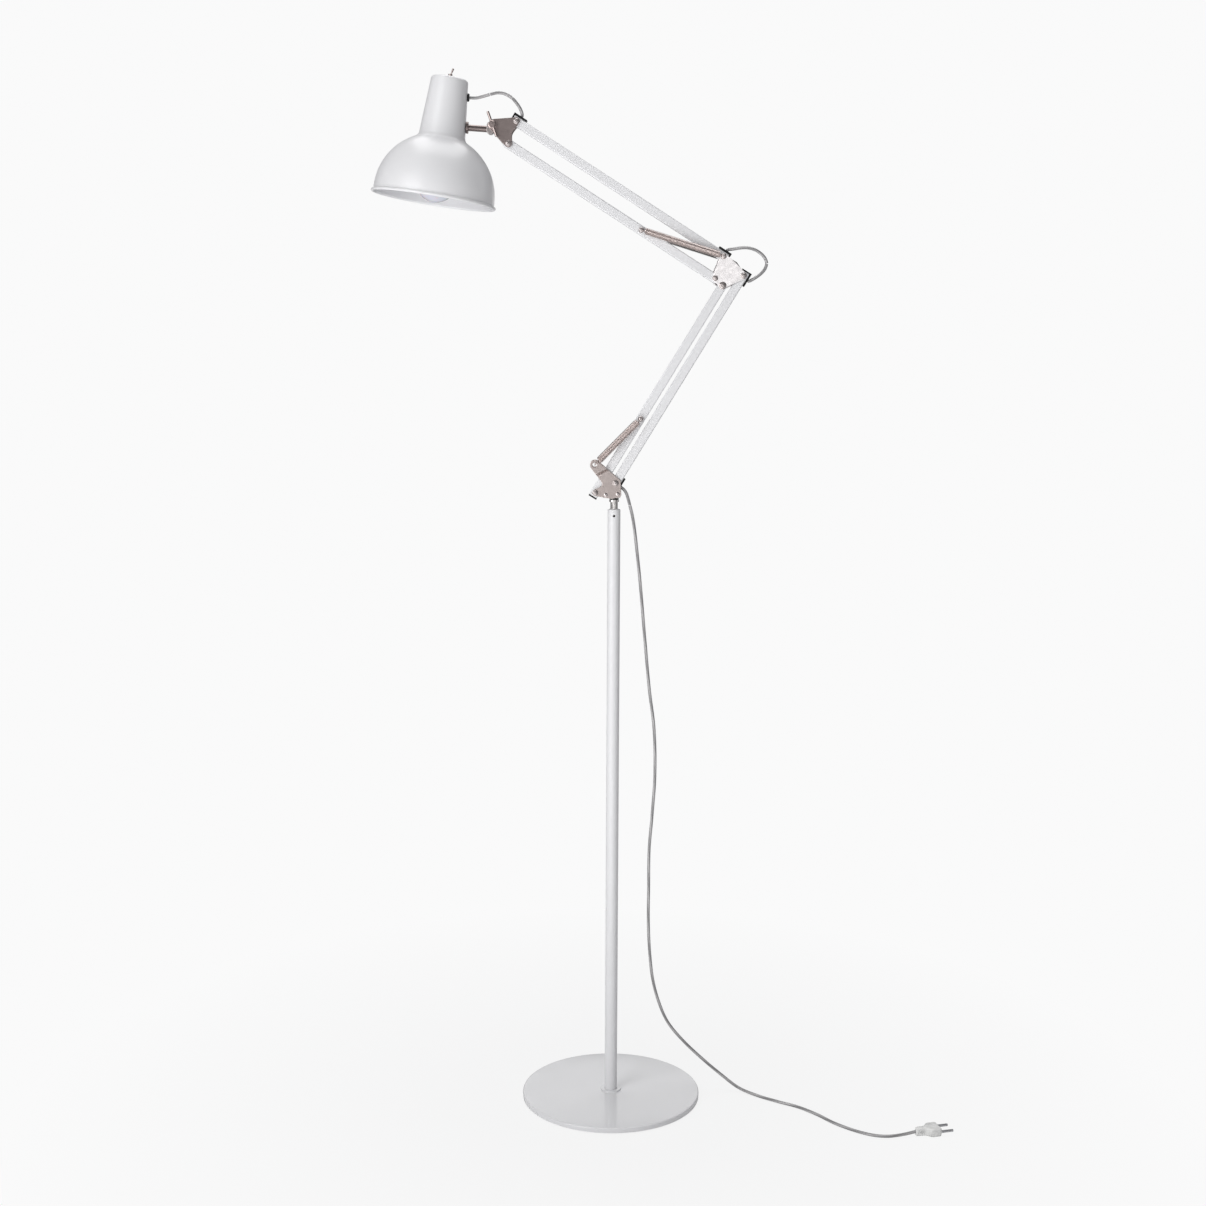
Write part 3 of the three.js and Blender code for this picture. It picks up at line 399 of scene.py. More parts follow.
def white_paint(name, roughness, coat, coat_roughness):
    """Stove enamel: a faint orange peel and slow changes of gloss."""
    paint = Surface(name, (0.83, 0.83, 0.845), roughness)
    paint.set("Coat Weight", coat).set("Coat Roughness", coat_roughness)
    paint.vary_roughness(paint.noise(22, 2), 0.04)
    paint.vary_colour(paint.noise(9, 3), (0.82, 0.819, 0.832))
    return paint.bump(paint.noise(420, 2), 0.00001, 0.2).material


def nickel(name, colour, roughness):
    """Nickel plate over stamped steel, with a fine tooth and a few duller patches."""
    plate = Surface(name, colour, roughness, 1.0)
    plate.vary_roughness(plate.noise(140, 4), 0.03)
    plate.vary_colour(plate.noise(60, 3), tuple(c * 0.94 for c in colour))
    return plate.bump(plate.noise(2500, 2), 0.000002, 0.2).material


def spring_wire(name, colour):
    """Plated spring wire; the rear springs get a darker copy of it, which is painted shade."""
    wire = Surface(name, colour, 0.38, 1.0)
    wire.vary_roughness(wire.noise(300, 2), 0.06)
    return wire.vary_colour(wire.noise(120, 2), tuple(c * 0.9 for c in colour)).material


def machined_steel(name, colour):
    steel = Surface(name, colour, 0.32, 1.0)
    steel.vary_roughness(steel.noise(500, 2), 0.08)
    return steel.bump(steel.noise(1500, 2), 0.00001, 0.3).material


def moulded_plastic(name, colour, roughness):
    """Moulded plastic with a fine eroded grain."""
    plastic = Surface(name, colour, roughness)
    lighter = tuple(min(1.0, c * 1.25 + 0.004) for c in colour)
    plastic.vary_colour(plastic.noise(120, 3), lighter)
    plastic.vary_roughness(plastic.noise(60, 2), 0.07)
    plastic.set("Specular IOR Level", 0.3)
    return plastic.bump(plastic.noise(1600, 3), 0.00001, 0.3).material


def foam_pad():
    foam = Surface("foam_pad", (0.03, 0.03, 0.032), 0.85)
    foam.vary_colour(foam.noise(300, 3), (0.06, 0.06, 0.062))
    return foam.bump(foam.noise(900, 4), 0.0002, 0.6).material


def opal_glass():
    """A pearl bulb: a smooth skin over a white coating on the inside."""
    glass = Surface("opal_glass", (0.74, 0.75, 0.83), 0.12)
    glass.set("Coat Weight", 0.6).set("Coat Roughness", 0.04)
    glass.set("Subsurface Weight", 0.25).set("Subsurface Scale", 0.01)
    return glass.vary_colour(glass.noise(30, 2), (0.7, 0.71, 0.8)).material


def clear_cord():
    """A smoky jacket over two twisted conductors, which show as a slow, pale streak."""
    jacket = Surface("clear_cord", (0.26, 0.255, 0.26), 0.3)
    jacket.set("Coat Weight", 0.5).set("Coat Roughness", 0.12)
    turns_per_metre = 9.0
    place = jacket.place(coordinate="UV")
    parts = jacket.nodes.new("ShaderNodeSeparateXYZ")
    jacket.links.new(place, parts.inputs["Vector"])
    twist = jacket.nodes.new("ShaderNodeMath")
    twist.operation = "MULTIPLY_ADD"
    twist.inputs[1].default_value = turns_per_metre
    jacket.links.new(parts.outputs["X"], twist.inputs[0])
    jacket.links.new(parts.outputs["Y"], twist.inputs[2])
    wave = jacket.nodes.new("ShaderNodeMath")
    wave.operation = "PINGPONG"
    wave.inputs[1].default_value = 0.25
    jacket.links.new(twist.outputs["Value"], wave.inputs[0])
    jacket.vary_colour(wave.outputs["Value"], (0.46, 0.45, 0.455), 0.05, 0.2)
    return jacket.bump(jacket.noise(700, 2), 0.00001, 0.2).material


PAINT = white_paint("white_paint", 0.33, 0.15, 0.3)
BASE_PAINT = white_paint("base_paint", 0.16, 0.4, 0.08)
NICKEL = nickel("nickel", (0.6, 0.525, 0.5), 0.32)
PALE_NICKEL = nickel("pale_nickel", (0.86, 0.83, 0.83), 0.28)
DARK_NICKEL = nickel("dark_nickel", (0.42, 0.35, 0.335), 0.3)
SCREW_NICKEL = nickel("screw_nickel", (0.56, 0.51, 0.5), 0.3)
ROD_NICKEL = nickel("rod_nickel", (0.27, 0.225, 0.215), 0.3)
CHROME = nickel("chrome", (0.9, 0.87, 0.85), 0.22)
SPRING = {
    "front": spring_wire("spring_wire", (0.72, 0.62, 0.59)),
    # The rear springs' darker wire is painted shade: they are the same wire as the front ones.
    "rear": spring_wire("rear_spring_painted_shade", (0.27, 0.25, 0.245)),
}
STEEL = machined_steel("machined_steel", (0.6, 0.6, 0.62))
# Near-black steel: the set screw's own colour, and painted shade on the elbow web, which is the bend
# of the elbow's nickel plates.
BLACK_STEEL_AND_PAINTED_SHADE = machined_steel("black_steel_and_painted_shade", (0.06, 0.055, 0.055))
BLACK = moulded_plastic("black_plastic", (0.007, 0.007, 0.0075), 0.5)
WHITE_PLASTIC = moulded_plastic("white_plastic", (0.78, 0.78, 0.77), 0.34)
FOAM = foam_pad()
OPAL = opal_glass()
CORD = clear_cord()


# ------------------------------------------------------------------ camera
LENS = 49.56
LOOKS_DOWN = 0.14107
ROLL = 0.00477
CAMERA_PLACE = (-0.0158, -2.471, 1.129)


def add_camera():
    """At the photograph's viewing angle: a little right of the shade, 1.13 m up, tilted down."""
    data = bpy.data.cameras.new("camera")
    data.lens = LENS
    data.sensor_width = 36
    data.clip_end = 60
    camera = bpy.data.objects.new("camera", data)
    bpy.context.scene.collection.objects.link(camera)
    tilt = Matrix.Rotation(math.pi / 2 - LOOKS_DOWN, 4, "X")
    roll = Matrix.Rotation(ROLL, 4, "Z")
    camera.matrix_world = Matrix.Translation(CAMERA_PLACE) @ tilt @ roll
    bpy.context.scene.camera = camera


# ------------------------------------------------------------------ cords
# Routes in millimetres, as in the CAD: [x, z] in the arm's middle plane, or [x, y, z].
STRIP_OUTER = 9.5 * MM
ELBOW_LOOP_LOWER = [
    (199.4, 1256.4), (205.7, 1260.2), (213.4, 1266), (218.6, 1272.4), (220.6, 1277.6),
    (220.9, 1279.6),
]
ELBOW_LOOP_UPPER = [
    (220.9, 1280.3), (220.6, 1282.3), (217.8, 1288.4), (210.9, 1295.3), (202, 1300.2),
    (191.8, 1302.6), (181.6, 1302.2), (172, 1300.6),
]
HEAD_LOOP_ARM = [
    (-136.2, 1491.6), (-138.8, 1497.8), (-142.7, 1503.9), (-147.2, 1509.4), (-149, 1511.2),
    (-150, 1512.1),
]
HEAD_LOOP_BRACKET = [
    (-150.5, 1512.5), (-151.6, 1513.4), (-155.4, 1515.8), (-163.3, 1519), (-172, 1519.6),
    (-180.2, 1517.9), (-181.8, 1517.5),
]
HEAD_LOOP_SHADE = [(-182.5, 1517.3), (-184.1, 1516.9), (-193.6, 1514.2), (-201.6, 1512.4)]
MAIN_CORD_TOP = [
    (13.9, 949.3), (16.6, 946.2), (18.6, 942.5), (19.4, 940.2), (23.2, 926.6), (23.45, 925.6),
]
MAIN_CORD = [
    (23.6, 0, 925), (23.87, 0, 923.9), (28.2, 0, 905.7),
    (37.8, 0, 828.3), (48.2, 0, 716), (55.1, 0, 645), (62.6, 0, 586), (64.6, 0, 513),
    (60.6, 0, 447), (56.8, 0, 395), (56.6, 0, 341), (56.8, 0, 274), (60.2, 0, 219),
    (64.6, 2, 186), (73.2, 6, 152), (89, 12, 113.5), (115.5, 16, 79.5), (147, 18, 48.5),
    (176.5, 17, 23.5), (201, 12, 6.4), (226.5, -6.5, 2.6), (258.9, -30, 2.6),
    (286.7, -47.5, 2.6), (312.9, -73, 2.6), (337.4, -104, 2.6), (365.5, -129, 2.6),
    (389.2, -142.5, 2.6), (411.3, -146, 2.8), (434.5, -143.2, 4.6), (451.7, -138.8, 6.8),
]
SHADE_TILT = math.radians(8.4)
NECK_START, NECK_TOP = 93 * MM, 173 * MM
NECK_WIDE, NECK_NARROW = 33.4 * MM, 26.5 * MM
NECK_SLOPE = math.atan2(NECK_WIDE - NECK_NARROW, NECK_TOP - NECK_START)
STEM_HEIGHT = 108 * MM
GROMMET_HEIGHT = 150 * MM


def neck_radius(height):
    return NECK_WIDE - (height - NECK_START) * math.tan(NECK_SLOPE)


def in_plane(points):
    return [mm(x, 0, z) for x, z in points]


def exit_points(pivot, direction, along):
    """Two points on a cord hole's axis: just inside the cap's strip, and just outside."""
    across = direction.cross(Y_AXIS)
    hole = pivot + direction * along
    return [hole - across * (STRIP_OUTER + out) for out in (-0.7 * MM, 1.8 * MM)]


def shade_frame():
    """The shade's own frame: the origin at the rim's centre and Z up its axis."""
    turn = Matrix.Rotation(SHADE_TILT, 4, "Y")
    offset = turn @ Vector((neck_radius(STEM_HEIGHT), 0, STEM_HEIGHT))
    return Matrix.Translation(NECK_BOSS - offset) @ turn


def grommet_points():
    place = shade_frame()
    outward = Vector((math.cos(NECK_SLOPE), 0, math.sin(NECK_SLOPE)))
    wall = Vector((neck_radius(GROMMET_HEIGHT), 0, GROMMET_HEIGHT))
    return [place @ (wall + outward * out) for out in (5 * MM, 1.5 * MM)]


def add_cord(name, points):
    """A stretch of cord swept along its points, standing in for its CAD node."""
    line = smooth_line(points, 2.2 * MM)
    piece = swept(name, line, CORD_RADIUS, 14)
    finished(piece, CORD, stands_for=(name.replace("_piece", ""),))
    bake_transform(piece)
    return piece


def add_cords():
    elbow_start = exit_points(ELBOW_RIGHT, LOWER_DIRECTION, -2 * MM)
    elbow_end = exit_points(ELBOW_TOP, UPPER_DIRECTION, 0)[::-1]
    lower = elbow_start + in_plane(ELBOW_LOOP_LOWER)
    upper = in_plane(ELBOW_LOOP_UPPER) + elbow_end
    add_cord("elbow_cord_lower_piece", lower)
    add_cord("elbow_cord_upper_piece", upper)

    arm = exit_points(HEAD_TOP, UPPER_DIRECTION, -2.5 * MM) + in_plane(HEAD_LOOP_ARM)
    bracket = in_plane(HEAD_LOOP_BRACKET)
    shade = in_plane(HEAD_LOOP_SHADE) + grommet_points()
    add_cord("head_cord_arm_piece", arm)
    add_cord("head_cord_bracket_piece", bracket)
    add_cord("head_cord_shade_piece", shade)

    top = exit_points(LOWER_RIGHT, LOWER_DIRECTION, -1.5 * MM) + in_plane(MAIN_CORD_TOP)
    add_cord("main_cord_top_piece", top)
    main = [mm(*p) for p in MAIN_CORD]
    add_cord("main_cord_piece", main)


def add_plug():
    """A flat two-pin plug with a ribbed strain relief, lying in line with the cord's end."""
    end = mm(*MAIN_CORD[-1])
    heading = Vector((17.2, 4.4, 0)).normalized()
    place = basis(end, heading, Z_AXIS.cross(heading))
    half = [(0.4, 3.3), (3, 3.6), (14, 4.4), (17, 6.2), (21, 11.2), (24, 12.4), (34, 12.4),
            (37, 11.6), (38, 10)]
    low, high = 0.3 * MM - end.z, 13.1 * MM - end.z
    outline = [mm(x, -y, 0) for x, y in half] + [mm(x, y, 0) for x, y in reversed(half)]
    count = len(outline)
    vertices = [place @ (p + Vector((0, 0, low))) for p in outline]
    vertices += [place @ (p + Vector((0, 0, high))) for p in outline]
    faces = [tuple(reversed(range(count))), tuple(range(count, 2 * count))]
    faces += [(i, (i + 1) % count, (i + 1) % count + count, i + count) for i in range(count)]
    body = object_from("plug_shell", vertices, faces)
    round_edges(body, 2.4 * MM, 4, 50)
    ribs = []
    for i in range(5):
        x = (2.2 + 2.4 * i) * MM
        start, stop = x - 0.5 * MM, x + 0.5 * MM
        foot, crest = (4.7 + 0.1 * i) * MM, (5 + 0.1 * i) * MM
        ring = [(0, start), (foot, start), (crest, x), (foot, stop), (0, stop)]
        along = place @ Matrix.Rotation(math.pi / 2, 4, "Y")
        ribs.append(turned(f"rib_{i}", ring, 24, along))
    plug = soften(joined("plug_body_piece", body, *ribs), 40)
    return finished(plug, WHITE_PLASTIC, "base", ("plug_body",))


# ------------------------------------------------------------------ springs
WIRE = 0.62 * MM
COIL = 4.35 * MM
PITCH = 1.55 * MM
SPRING_Y = 14.5 * MM
HOOK_Y = 10.6 * MM
SCREW_HOOK = 3.3 * MM
LOOP_HOOK = 4.35 * MM


def spring_line(length, loop_at_start, sign):
    """A coil along local X with a hook at each end; the hooks lean to the middle plane."""
    lean = (HOOK_Y - SPRING_Y) * sign
    body_start = 2 * LOOP_HOOK if loop_at_start else 5.6 * MM
    body_end = length - 5.6 * MM
    line = []
    if loop_at_start:
        line += [Vector((LOOP_HOOK - LOOP_HOOK * math.cos(a), LOOP_HOOK * math.sin(a), 0))
                 for a in (math.radians(150 - 15 * i) for i in range(21))]
    else:
        line += [Vector((SCREW_HOOK * math.cos(a), lean, SCREW_HOOK * math.sin(a)))
                 for a in (math.radians(60 + 20 * i) for i in range(16))]
        line.append(Vector((body_start - 1.2 * MM, lean * 0.95, 0)))
    turns = (body_end - body_start) / PITCH
    steps_per_turn = 14
    total = round(turns * steps_per_turn)
    first = -math.pi / 2 * sign if not loop_at_start else 0
    for i in range(total + 1):
        angle = first + 2 * math.pi * i / steps_per_turn
        grow = min(1, 0.35 + i / steps_per_turn, 0.35 + (total - i) / steps_per_turn)
        radius = COIL * min(1.0, grow)
        x = body_start + (body_end - body_start) * i / total
        line.append(Vector((x, radius * math.sin(angle), radius * math.cos(angle))))
    line.append(Vector((body_end + 1.2 * MM, lean * 0.95, 0)))
    line += [Vector((length + SCREW_HOOK * math.cos(a), lean, SCREW_HOOK * math.sin(a)))
             for a in (math.radians(180 + 20 * i) for i in range(16))]
    return line


def add_spring(name, start, end, loop_at_start, side):
    sign = -1 if side == "front" else 1
    offset = Vector((0, sign * SPRING_Y, 0))
    place = basis(start + offset, end - start)
    line = [place @ p for p in spring_line((end - start).length, loop_at_start, sign)]
    piece = swept(f"{name}_{side}_coil", line, WIRE, 7)
    finished(piece, SPRING[side], stands_for=(f"{name}_{side}",))
    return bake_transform(piece)


SPRING_REACH = 128 * MM
SPRING_LOBE = mm(-29, 0, 985.5)


def add_springs():
    lower_screw = LOWER_LEFT + LOWER_DIRECTION * SPRING_REACH
    upper_screw = ELBOW_LEFT + UPPER_DIRECTION * SPRING_REACH
    for side in ("front", "rear"):
        add_spring("lower_spring", SPRING_LOBE, lower_screw, True, side)
        add_spring("upper_spring", upper_screw, ELBOW_TOP, False, side)


# ------------------------------------------------------------------ base and pole
def add_base():
    edge = 2.2 * MM
    radius, top, bottom = 137.5 * MM, 8.5 * MM, 0.8 * MM
    collar, collar_top = 15.8 * MM, 10.7 * MM
    pole_hole, bolt_hole = 9.7 * MM, 5.3 * MM
    sink, sink_top = 9.4 * MM, 4.8 * MM
    profile = [(sink, bottom), (radius - 1 * MM, bottom), (radius - 0.3 * MM, bottom + 0.3 * MM)]
    profile += arc((radius - edge, top - edge), edge, 0, 90, 8)
    profile += [(collar + 0.8 * MM, top)]
    profile += arc((collar + 0.8 * MM, top + 0.8 * MM), 0.8 * MM, 270, 180, 4)
    profile += arc((collar - 0.8 * MM, collar_top - 0.8 * MM), 0.8 * MM, 0, 90, 4)
    profile += [(pole_hole, collar_top), (pole_hole, top), (bolt_hole, top), (bolt_hole, sink_top),
                (sink, sink_top)]
    plate = soften(turned("base_plate_piece", profile, 192), 30)
    finished(plate, BASE_PAINT, "base", ("base_plate",))


def add_pole():
    outer, bore, lip = 9.5 * MM, 8 * MM, 2.2 * MM
    top, foot, foot_top = 920 * MM, 8.8 * MM, 42 * MM
    bolt_hole, mouth, mouth_depth = 5.2 * MM, 6.1 * MM, 1.6 * MM
    profile = [(bolt_hole, foot), (outer - 0.4 * MM, foot), (outer, foot + 0.4 * MM)]
    profile += [(outer, foot + (top - lip - foot) * i / 12) for i in range(1, 12)]
    profile += arc((outer - lip, top - lip), lip, 0, 90, 8)
    profile += [(mouth, top), (mouth, top - mouth_depth), (bore, top - mouth_depth),
                (bore, foot_top), (bolt_hole, foot_top)]
    pole = turned("pole_tube_piece", profile, 64)
    across = Matrix.Translation((0, 0, 910 * MM)) @ Matrix.Rotation(math.pi / 2, 4, "X")
    drill = turned("drill", [(0, 4 * MM), (1.9 * MM, 4 * MM), (1.9 * MM, 12 * MM), (0, 12 * MM)],
                   32, across)
    pole = soften(cut_by(pole, drill), 30)
    finished(pole, PAINT, "base", ("pole_tube",))


# ------------------------------------------------------------------ screws, nuts and rivets
def hexagon(name, radius, low, high, place, bore=0.0):
    """A hexagon nut with chamfered corners."""
    nut = turned(name, [(bore, low), (radius, low), (radius, high), (bore, high)], 6, place)
    chamfer = min(0.5 * MM, (high - low) / 3)
    flat = radius * 0.88
    rim = [(flat, low), (radius, low + chamfer), (radius, high - chamfer), (flat, high)]
    trim = turned(name + "_trim", [(0, low), *rim, (0, high)], 48, place)
    boolean = nut.modifiers.new("trim", "BOOLEAN")
    boolean.operation = "INTERSECT"
    boolean.solver = "EXACT"
    boolean.object = trim
    nut.name = name + "_block"
    made = joined(name, nut)
    bpy.data.objects.remove(trim)
    return made


def front_place(centre):
    """A frame at centre whose Z points to the front, so that turned pieces face the camera."""
    return Matrix.Translation(centre) @ Matrix.Rotation(math.pi / 2, 4, "X")


def cross_cutter(name, place, top, radius):
    """A cross-shaped cutter for a driver recess."""
    arms = []
    for i in range(2):
        w, r = 0.42 * MM, radius * 0.5
        size = Vector((r, w, 0)) if i == 0 else Vector((w, r, 0))
        corners = [Vector((sx * size.x, sy * size.y, z)) for z in (top - 1.5 * MM, top + 1 * MM)
                   for sx, sy in ((-1, -1), (1, -1), (1, 1), (-1, 1))]
        faces = [(3, 2, 1, 0), (4, 5, 6, 7), (0, 1, 5, 4), (1, 2, 6, 5), (2, 3, 7, 6), (3, 0, 4, 7)]
        arms.append(object_from(f"{name}_arm_{i}", [place @ c for c in corners], faces))
    return arms


def pivot_screw(node, centre, body, radius_mm, reach=PLATE_OUTER):
    """A domed, cross-recessed head on a thin rim in front, and a hexagon nut behind."""
    place = front_place(centre)
    head = reach + 0.15 * MM
    r = radius_mm * MM
    dome = [(0, head), (r, head), (r, head + 0.35 * MM), (r * 0.93, head + 0.6 * MM),
            (r * 0.84, head + 0.75 * MM), (r * 0.8, head + 1.3 * MM), (r * 0.7, head + 1.95 * MM),
            (r * 0.5, head + 2.4 * MM), (r * 0.25, head + 2.6 * MM), (0, head + 2.65 * MM)]
    screw = turned(node + "_head", dome, 40, place)
    for arm in cross_cutter(node, place, head + 2.65 * MM, r * 0.9):
        screw = cut_by(screw, arm)
    nut_top = -(reach + 0.15 * MM)
    shank = [(0, nut_top - 3.3 * MM), (1.6 * MM, nut_top - 3.3 * MM),
             (2 * MM, nut_top - 2.9 * MM), (2 * MM, head + 0.1 * MM), (0, head + 0.1 * MM)]
    shank = turned(node + "_shank", shank, 32, place)
    nut = hexagon(node + "_nut", r + 0.3 * MM, nut_top - 2.6 * MM, nut_top, place)
    piece = soften(joined(node + "_piece", screw, shank, nut), 32)
    return finished(piece, SCREW_NICKEL, body, (node,))


def rivet(node, centre):
    outer = PLATE_OUTER + 0.1 * MM
    cap = [(3 * MM, outer), (2.75 * MM, outer + 0.5 * MM), (2 * MM, outer + 0.95 * MM),
           (1.1 * MM, outer + 1.15 * MM), (0, outer + 1.2 * MM)]
    low = [(r, -y) for r, y in reversed(cap)]
    profile = [*low, (2 * MM, -outer), (2 * MM, outer), *cap]
    piece = soften(turned(node + "_piece", profile, 32, front_place(centre)), 32)
    return finished(piece, SCREW_NICKEL, "turret", (node,))


def spring_screw(node, centre, body):
    """A shouldered screw with a groove for a hook on each side."""
    half = [(3.9, 6.8), (3.9, 9.2), (3.6, 9.5), (2, 9.5), (2, 11.7), (3.5, 11.7), (3.7, 11.9),
            (3.7, 12.6), (3.3, 13.3), (2.4, 13.9), (1.2, 14.15), (0, 14.2)]
    half = [(r * MM, y * MM) for r, y in half]
    profile = [(r, -y) for r, y in reversed(half)] + [(2 * MM, -6.8 * MM), (2 * MM, 6.8 * MM)]
    profile += half
    screw = turned(node + "_blank", profile, 40, front_place(centre))
    for arm in cross_cutter(node, front_place(centre), 14.2 * MM, 3.3 * MM):
        screw = cut_by(screw, arm)
    screw.name = node + "_piece"
    return finished(soften(screw, 32), SCREW_NICKEL, body, (node,))


def xz(point, radius):
    return (point.x, point.z, radius)


RIVETS = (mm(-12.5, 0, 941.3), mm(5.2, 0, 942.6))
SCREW_HOLE = 2.35 * MM


def add_fasteners():
    pivot_screw("lower_pivot_screw_left", LOWER_LEFT, "turret", 4.4)
    pivot_screw("lower_pivot_screw_right", LOWER_RIGHT, "turret", 4.6)
    rivet("bracket_rivet_left", RIVETS[0])
    rivet("bracket_rivet_right", RIVETS[1])
    spring_screw("lower_spring_screw", LOWER_LEFT + LOWER_DIRECTION * SPRING_REACH, "lower_left")
    spring_screw("upper_spring_screw", ELBOW_LEFT + UPPER_DIRECTION * SPRING_REACH, "upper_bottom")
    pivot_screw("elbow_screw_top", ELBOW_TOP, "elbow", 4.2, reach=HOOK_Y + 1.1 * MM)
    pivot_screw("elbow_screw_left", ELBOW_LEFT, "elbow", 4.1)
    pivot_screw("elbow_screw_bottom", ELBOW_BOTTOM, "elbow", 5.6)
    pivot_screw("elbow_screw_right", ELBOW_RIGHT, "elbow", 4.7)
    pivot_screw("head_screw_top", HEAD_TOP, "head_bracket", 4.4)
    pivot_screw("head_screw_bottom", HEAD_BOTTOM, "head_bracket", 4.4)


# ------------------------------------------------------------------ bracket plates
def lower_bracket(side):
    """The swivel's cheek, with its top lobe set outwards by a double bend to meet the spring."""
    sign = -1 if side == "front" else 1
    circles = [xz(LOWER_LEFT, 4.6 * MM), (-4.5 * MM, 940 * MM, 4.5 * MM),
               (6.3 * MM, 942 * MM, 4.4 * MM), (3.6 * MM, 960 * MM, 6 * MM),
               xz(SPRING_LOBE, 7 * MM), (-22.3 * MM, 957.6 * MM, -4.5 * MM)]
    holes = [xz(p, SCREW_HOLE) for p in (LOWER_LEFT, LOWER_RIGHT, *RIVETS)]
    holes.append(xz(SPRING_LOBE, 3.6 * MM))
    name = f"lower_bracket_{side}_piece"
    plate = flat_plate(name, outline_round(circles), holes, sign * PLATE_INNER, sign * PLATE_OUTER)
    bend, across, ramp = mm(-23.8, 0, 969.2), Vector((-0.462, 0, 0.887)).normalized(), 4.8 * MM
    steps = 8
    build = bmesh.new()
    build.from_mesh(plate.data)
    for i in range(steps + 1):
        cut_at = bend + across * (ramp * (i / steps) * 1.3 - ramp * 0.15)
        bmesh.ops.bisect_plane(build, geom=[*build.verts, *build.edges, *build.faces],
                               plane_co=cut_at, plane_no=across)
    for vertex in build.verts:
        t = ((vertex.co - bend).dot(across) / ramp + 0.15) / 1.3
        t = min(1.0, max(0.0, t))
        vertex.co.y += sign * (SPRING_Y - (PLATE_INNER + PLATE_OUTER) / 2) * t * t * (3 - 2 * t)
    build.to_mesh(plate.data)
    build.free()
    soften_plate(plate)
    finished(plate, NICKEL, "turret", (f"lower_bracket_{side}",))


def elbow_plate(side, margin):
    sign = -1 if side == "front" else 1
    circles = [xz(ELBOW_BOTTOM, margin), xz(ELBOW_RIGHT, 5 * MM),
               (172.2 * MM, 1276 * MM, 5.3 * MM), xz(ELBOW_TOP, 4.8 * MM),
               xz(ELBOW_LEFT, margin + 0.2 * MM)]
    holes = [xz(p, SCREW_HOLE) for p in (ELBOW_BOTTOM, ELBOW_RIGHT, ELBOW_TOP, ELBOW_LEFT)]
    plate = flat_plate(f"elbow_plate_{side}_piece", outline_round(circles), holes,
                       sign * PLATE_INNER, sign * PLATE_OUTER)
    finished(plate, PALE_NICKEL, "elbow", (f"elbow_plate_{side}",))


def head_plate(side):
    sign = -1 if side == "front" else 1
    circles = [xz(HEAD_BOTTOM, 5.5 * MM), (-139.3 * MM, 1458.4 * MM, -11.6 * MM),
               xz(HEAD_TOP, 5 * MM), (-176 * MM, 1478.8 * MM, 3.2 * MM), xz(CLAMP, 6.2 * MM)]
    holes = [xz(HEAD_BOTTOM, SCREW_HOLE), xz(HEAD_TOP, SCREW_HOLE), xz(CLAMP, 2.9 * MM)]
    plate = flat_plate(f"head_plate_{side}_plain", outline_round(circles), holes,
                       sign * PLATE_INNER, sign * PLATE_OUTER)
    parts = [plate]
    if side == "rear":
        back = -PLATE_OUTER
        parts.append(hexagon("weld_nut", 5 * MM, back - 3.4 * MM, back, front_place(CLAMP),
                             2.9 * MM))
    piece = soften_plate(joined(f"head_plate_{side}_piece", *parts))
    finished(piece, DARK_NICKEL, "head_bracket", (f"head_plate_{side}",))


def add_plates():
    for side, margin in (("front", 4.1 * MM), ("rear", 6 * MM)):
        lower_bracket(side)
        elbow_plate(side, margin)
        head_plate(side)


# ------------------------------------------------------------------ stem
def add_stem():
    """The shade's flange and dark rod, and the paler knuckle round the clamp screw."""
    drop = SHADE_TILT - NECK_SLOPE
    axis = Vector((math.cos(drop), 0, -math.sin(drop)))
    up = Vector((math.sin(drop), 0, math.cos(drop)))
    reach = (CLAMP - NECK_BOSS).dot(axis)

    def circle(x, z, radius):
        return xz(CLAMP + (axis * x + up * z) * MM, radius * MM)

    outline = outline_round([circle(-2.8, -7.4, 5.6), circle(0, 0, 6), circle(-3.4, -0.6, 5)])
    knuckle = flat_plate("stem_knuckle", outline, [xz(CLAMP, 2.9 * MM)], -7 * MM, 7 * MM, 0.6 * MM)
    end = reach / MM - 4
    rod = [(0, -10.5), (3.5, -10.5), (3.9, -10.1), (3.9, 0.3), (7.9, 0.3), (8.35, 0.8), (8.35, 3.4),
           (7.9, 3.9), (4.9, 3.9), (4.55, 4.3), (4.55, end / 2), (4.55, end), (0, end)]
    place = basis(NECK_BOSS, axis) @ Matrix.Rotation(math.pi / 2, 4, "Y")
    rod = turned("stem_rod", [(r * MM, x * MM) for r, x in rod], 48, place)
    piece = soften_plate(joined("shade_stem_piece", knuckle, rod))
    finished(piece, ROD_NICKEL, "stem", ("shade_stem",))
    piece.data.materials.append(SCREW_NICKEL)
    for polygon in piece.data.polygons:
        along = (polygon.center - NECK_BOSS).dot(axis)
        polygon.material_index = int(along > reach - 8.5 * MM)


# ------------------------------------------------------------------ shade
SHADE_RADIUS, DOME_CENTRE = 88 * MM, 6 * MM
SHADE_WALL, NECK_FILLET = 1 * MM, 9 * MM


def fillet_centre():
    """Centre of the hollow corner that touches both the dome and the neck's cone."""
    normal = (math.cos(NECK_SLOPE), math.sin(NECK_SLOPE))
    x = NECK_WIDE + NECK_FILLET * normal[0]
    z = NECK_START + NECK_FILLET * normal[1] - DOME_CENTRE
    reach = SHADE_RADIUS + NECK_FILLET
    half = z * normal[0] - x * normal[1]
    along = -half + math.sqrt(half * half - (x * x + z * z - reach * reach))
    return (x - along * normal[1], z + along * normal[0] + DOME_CENTRE)


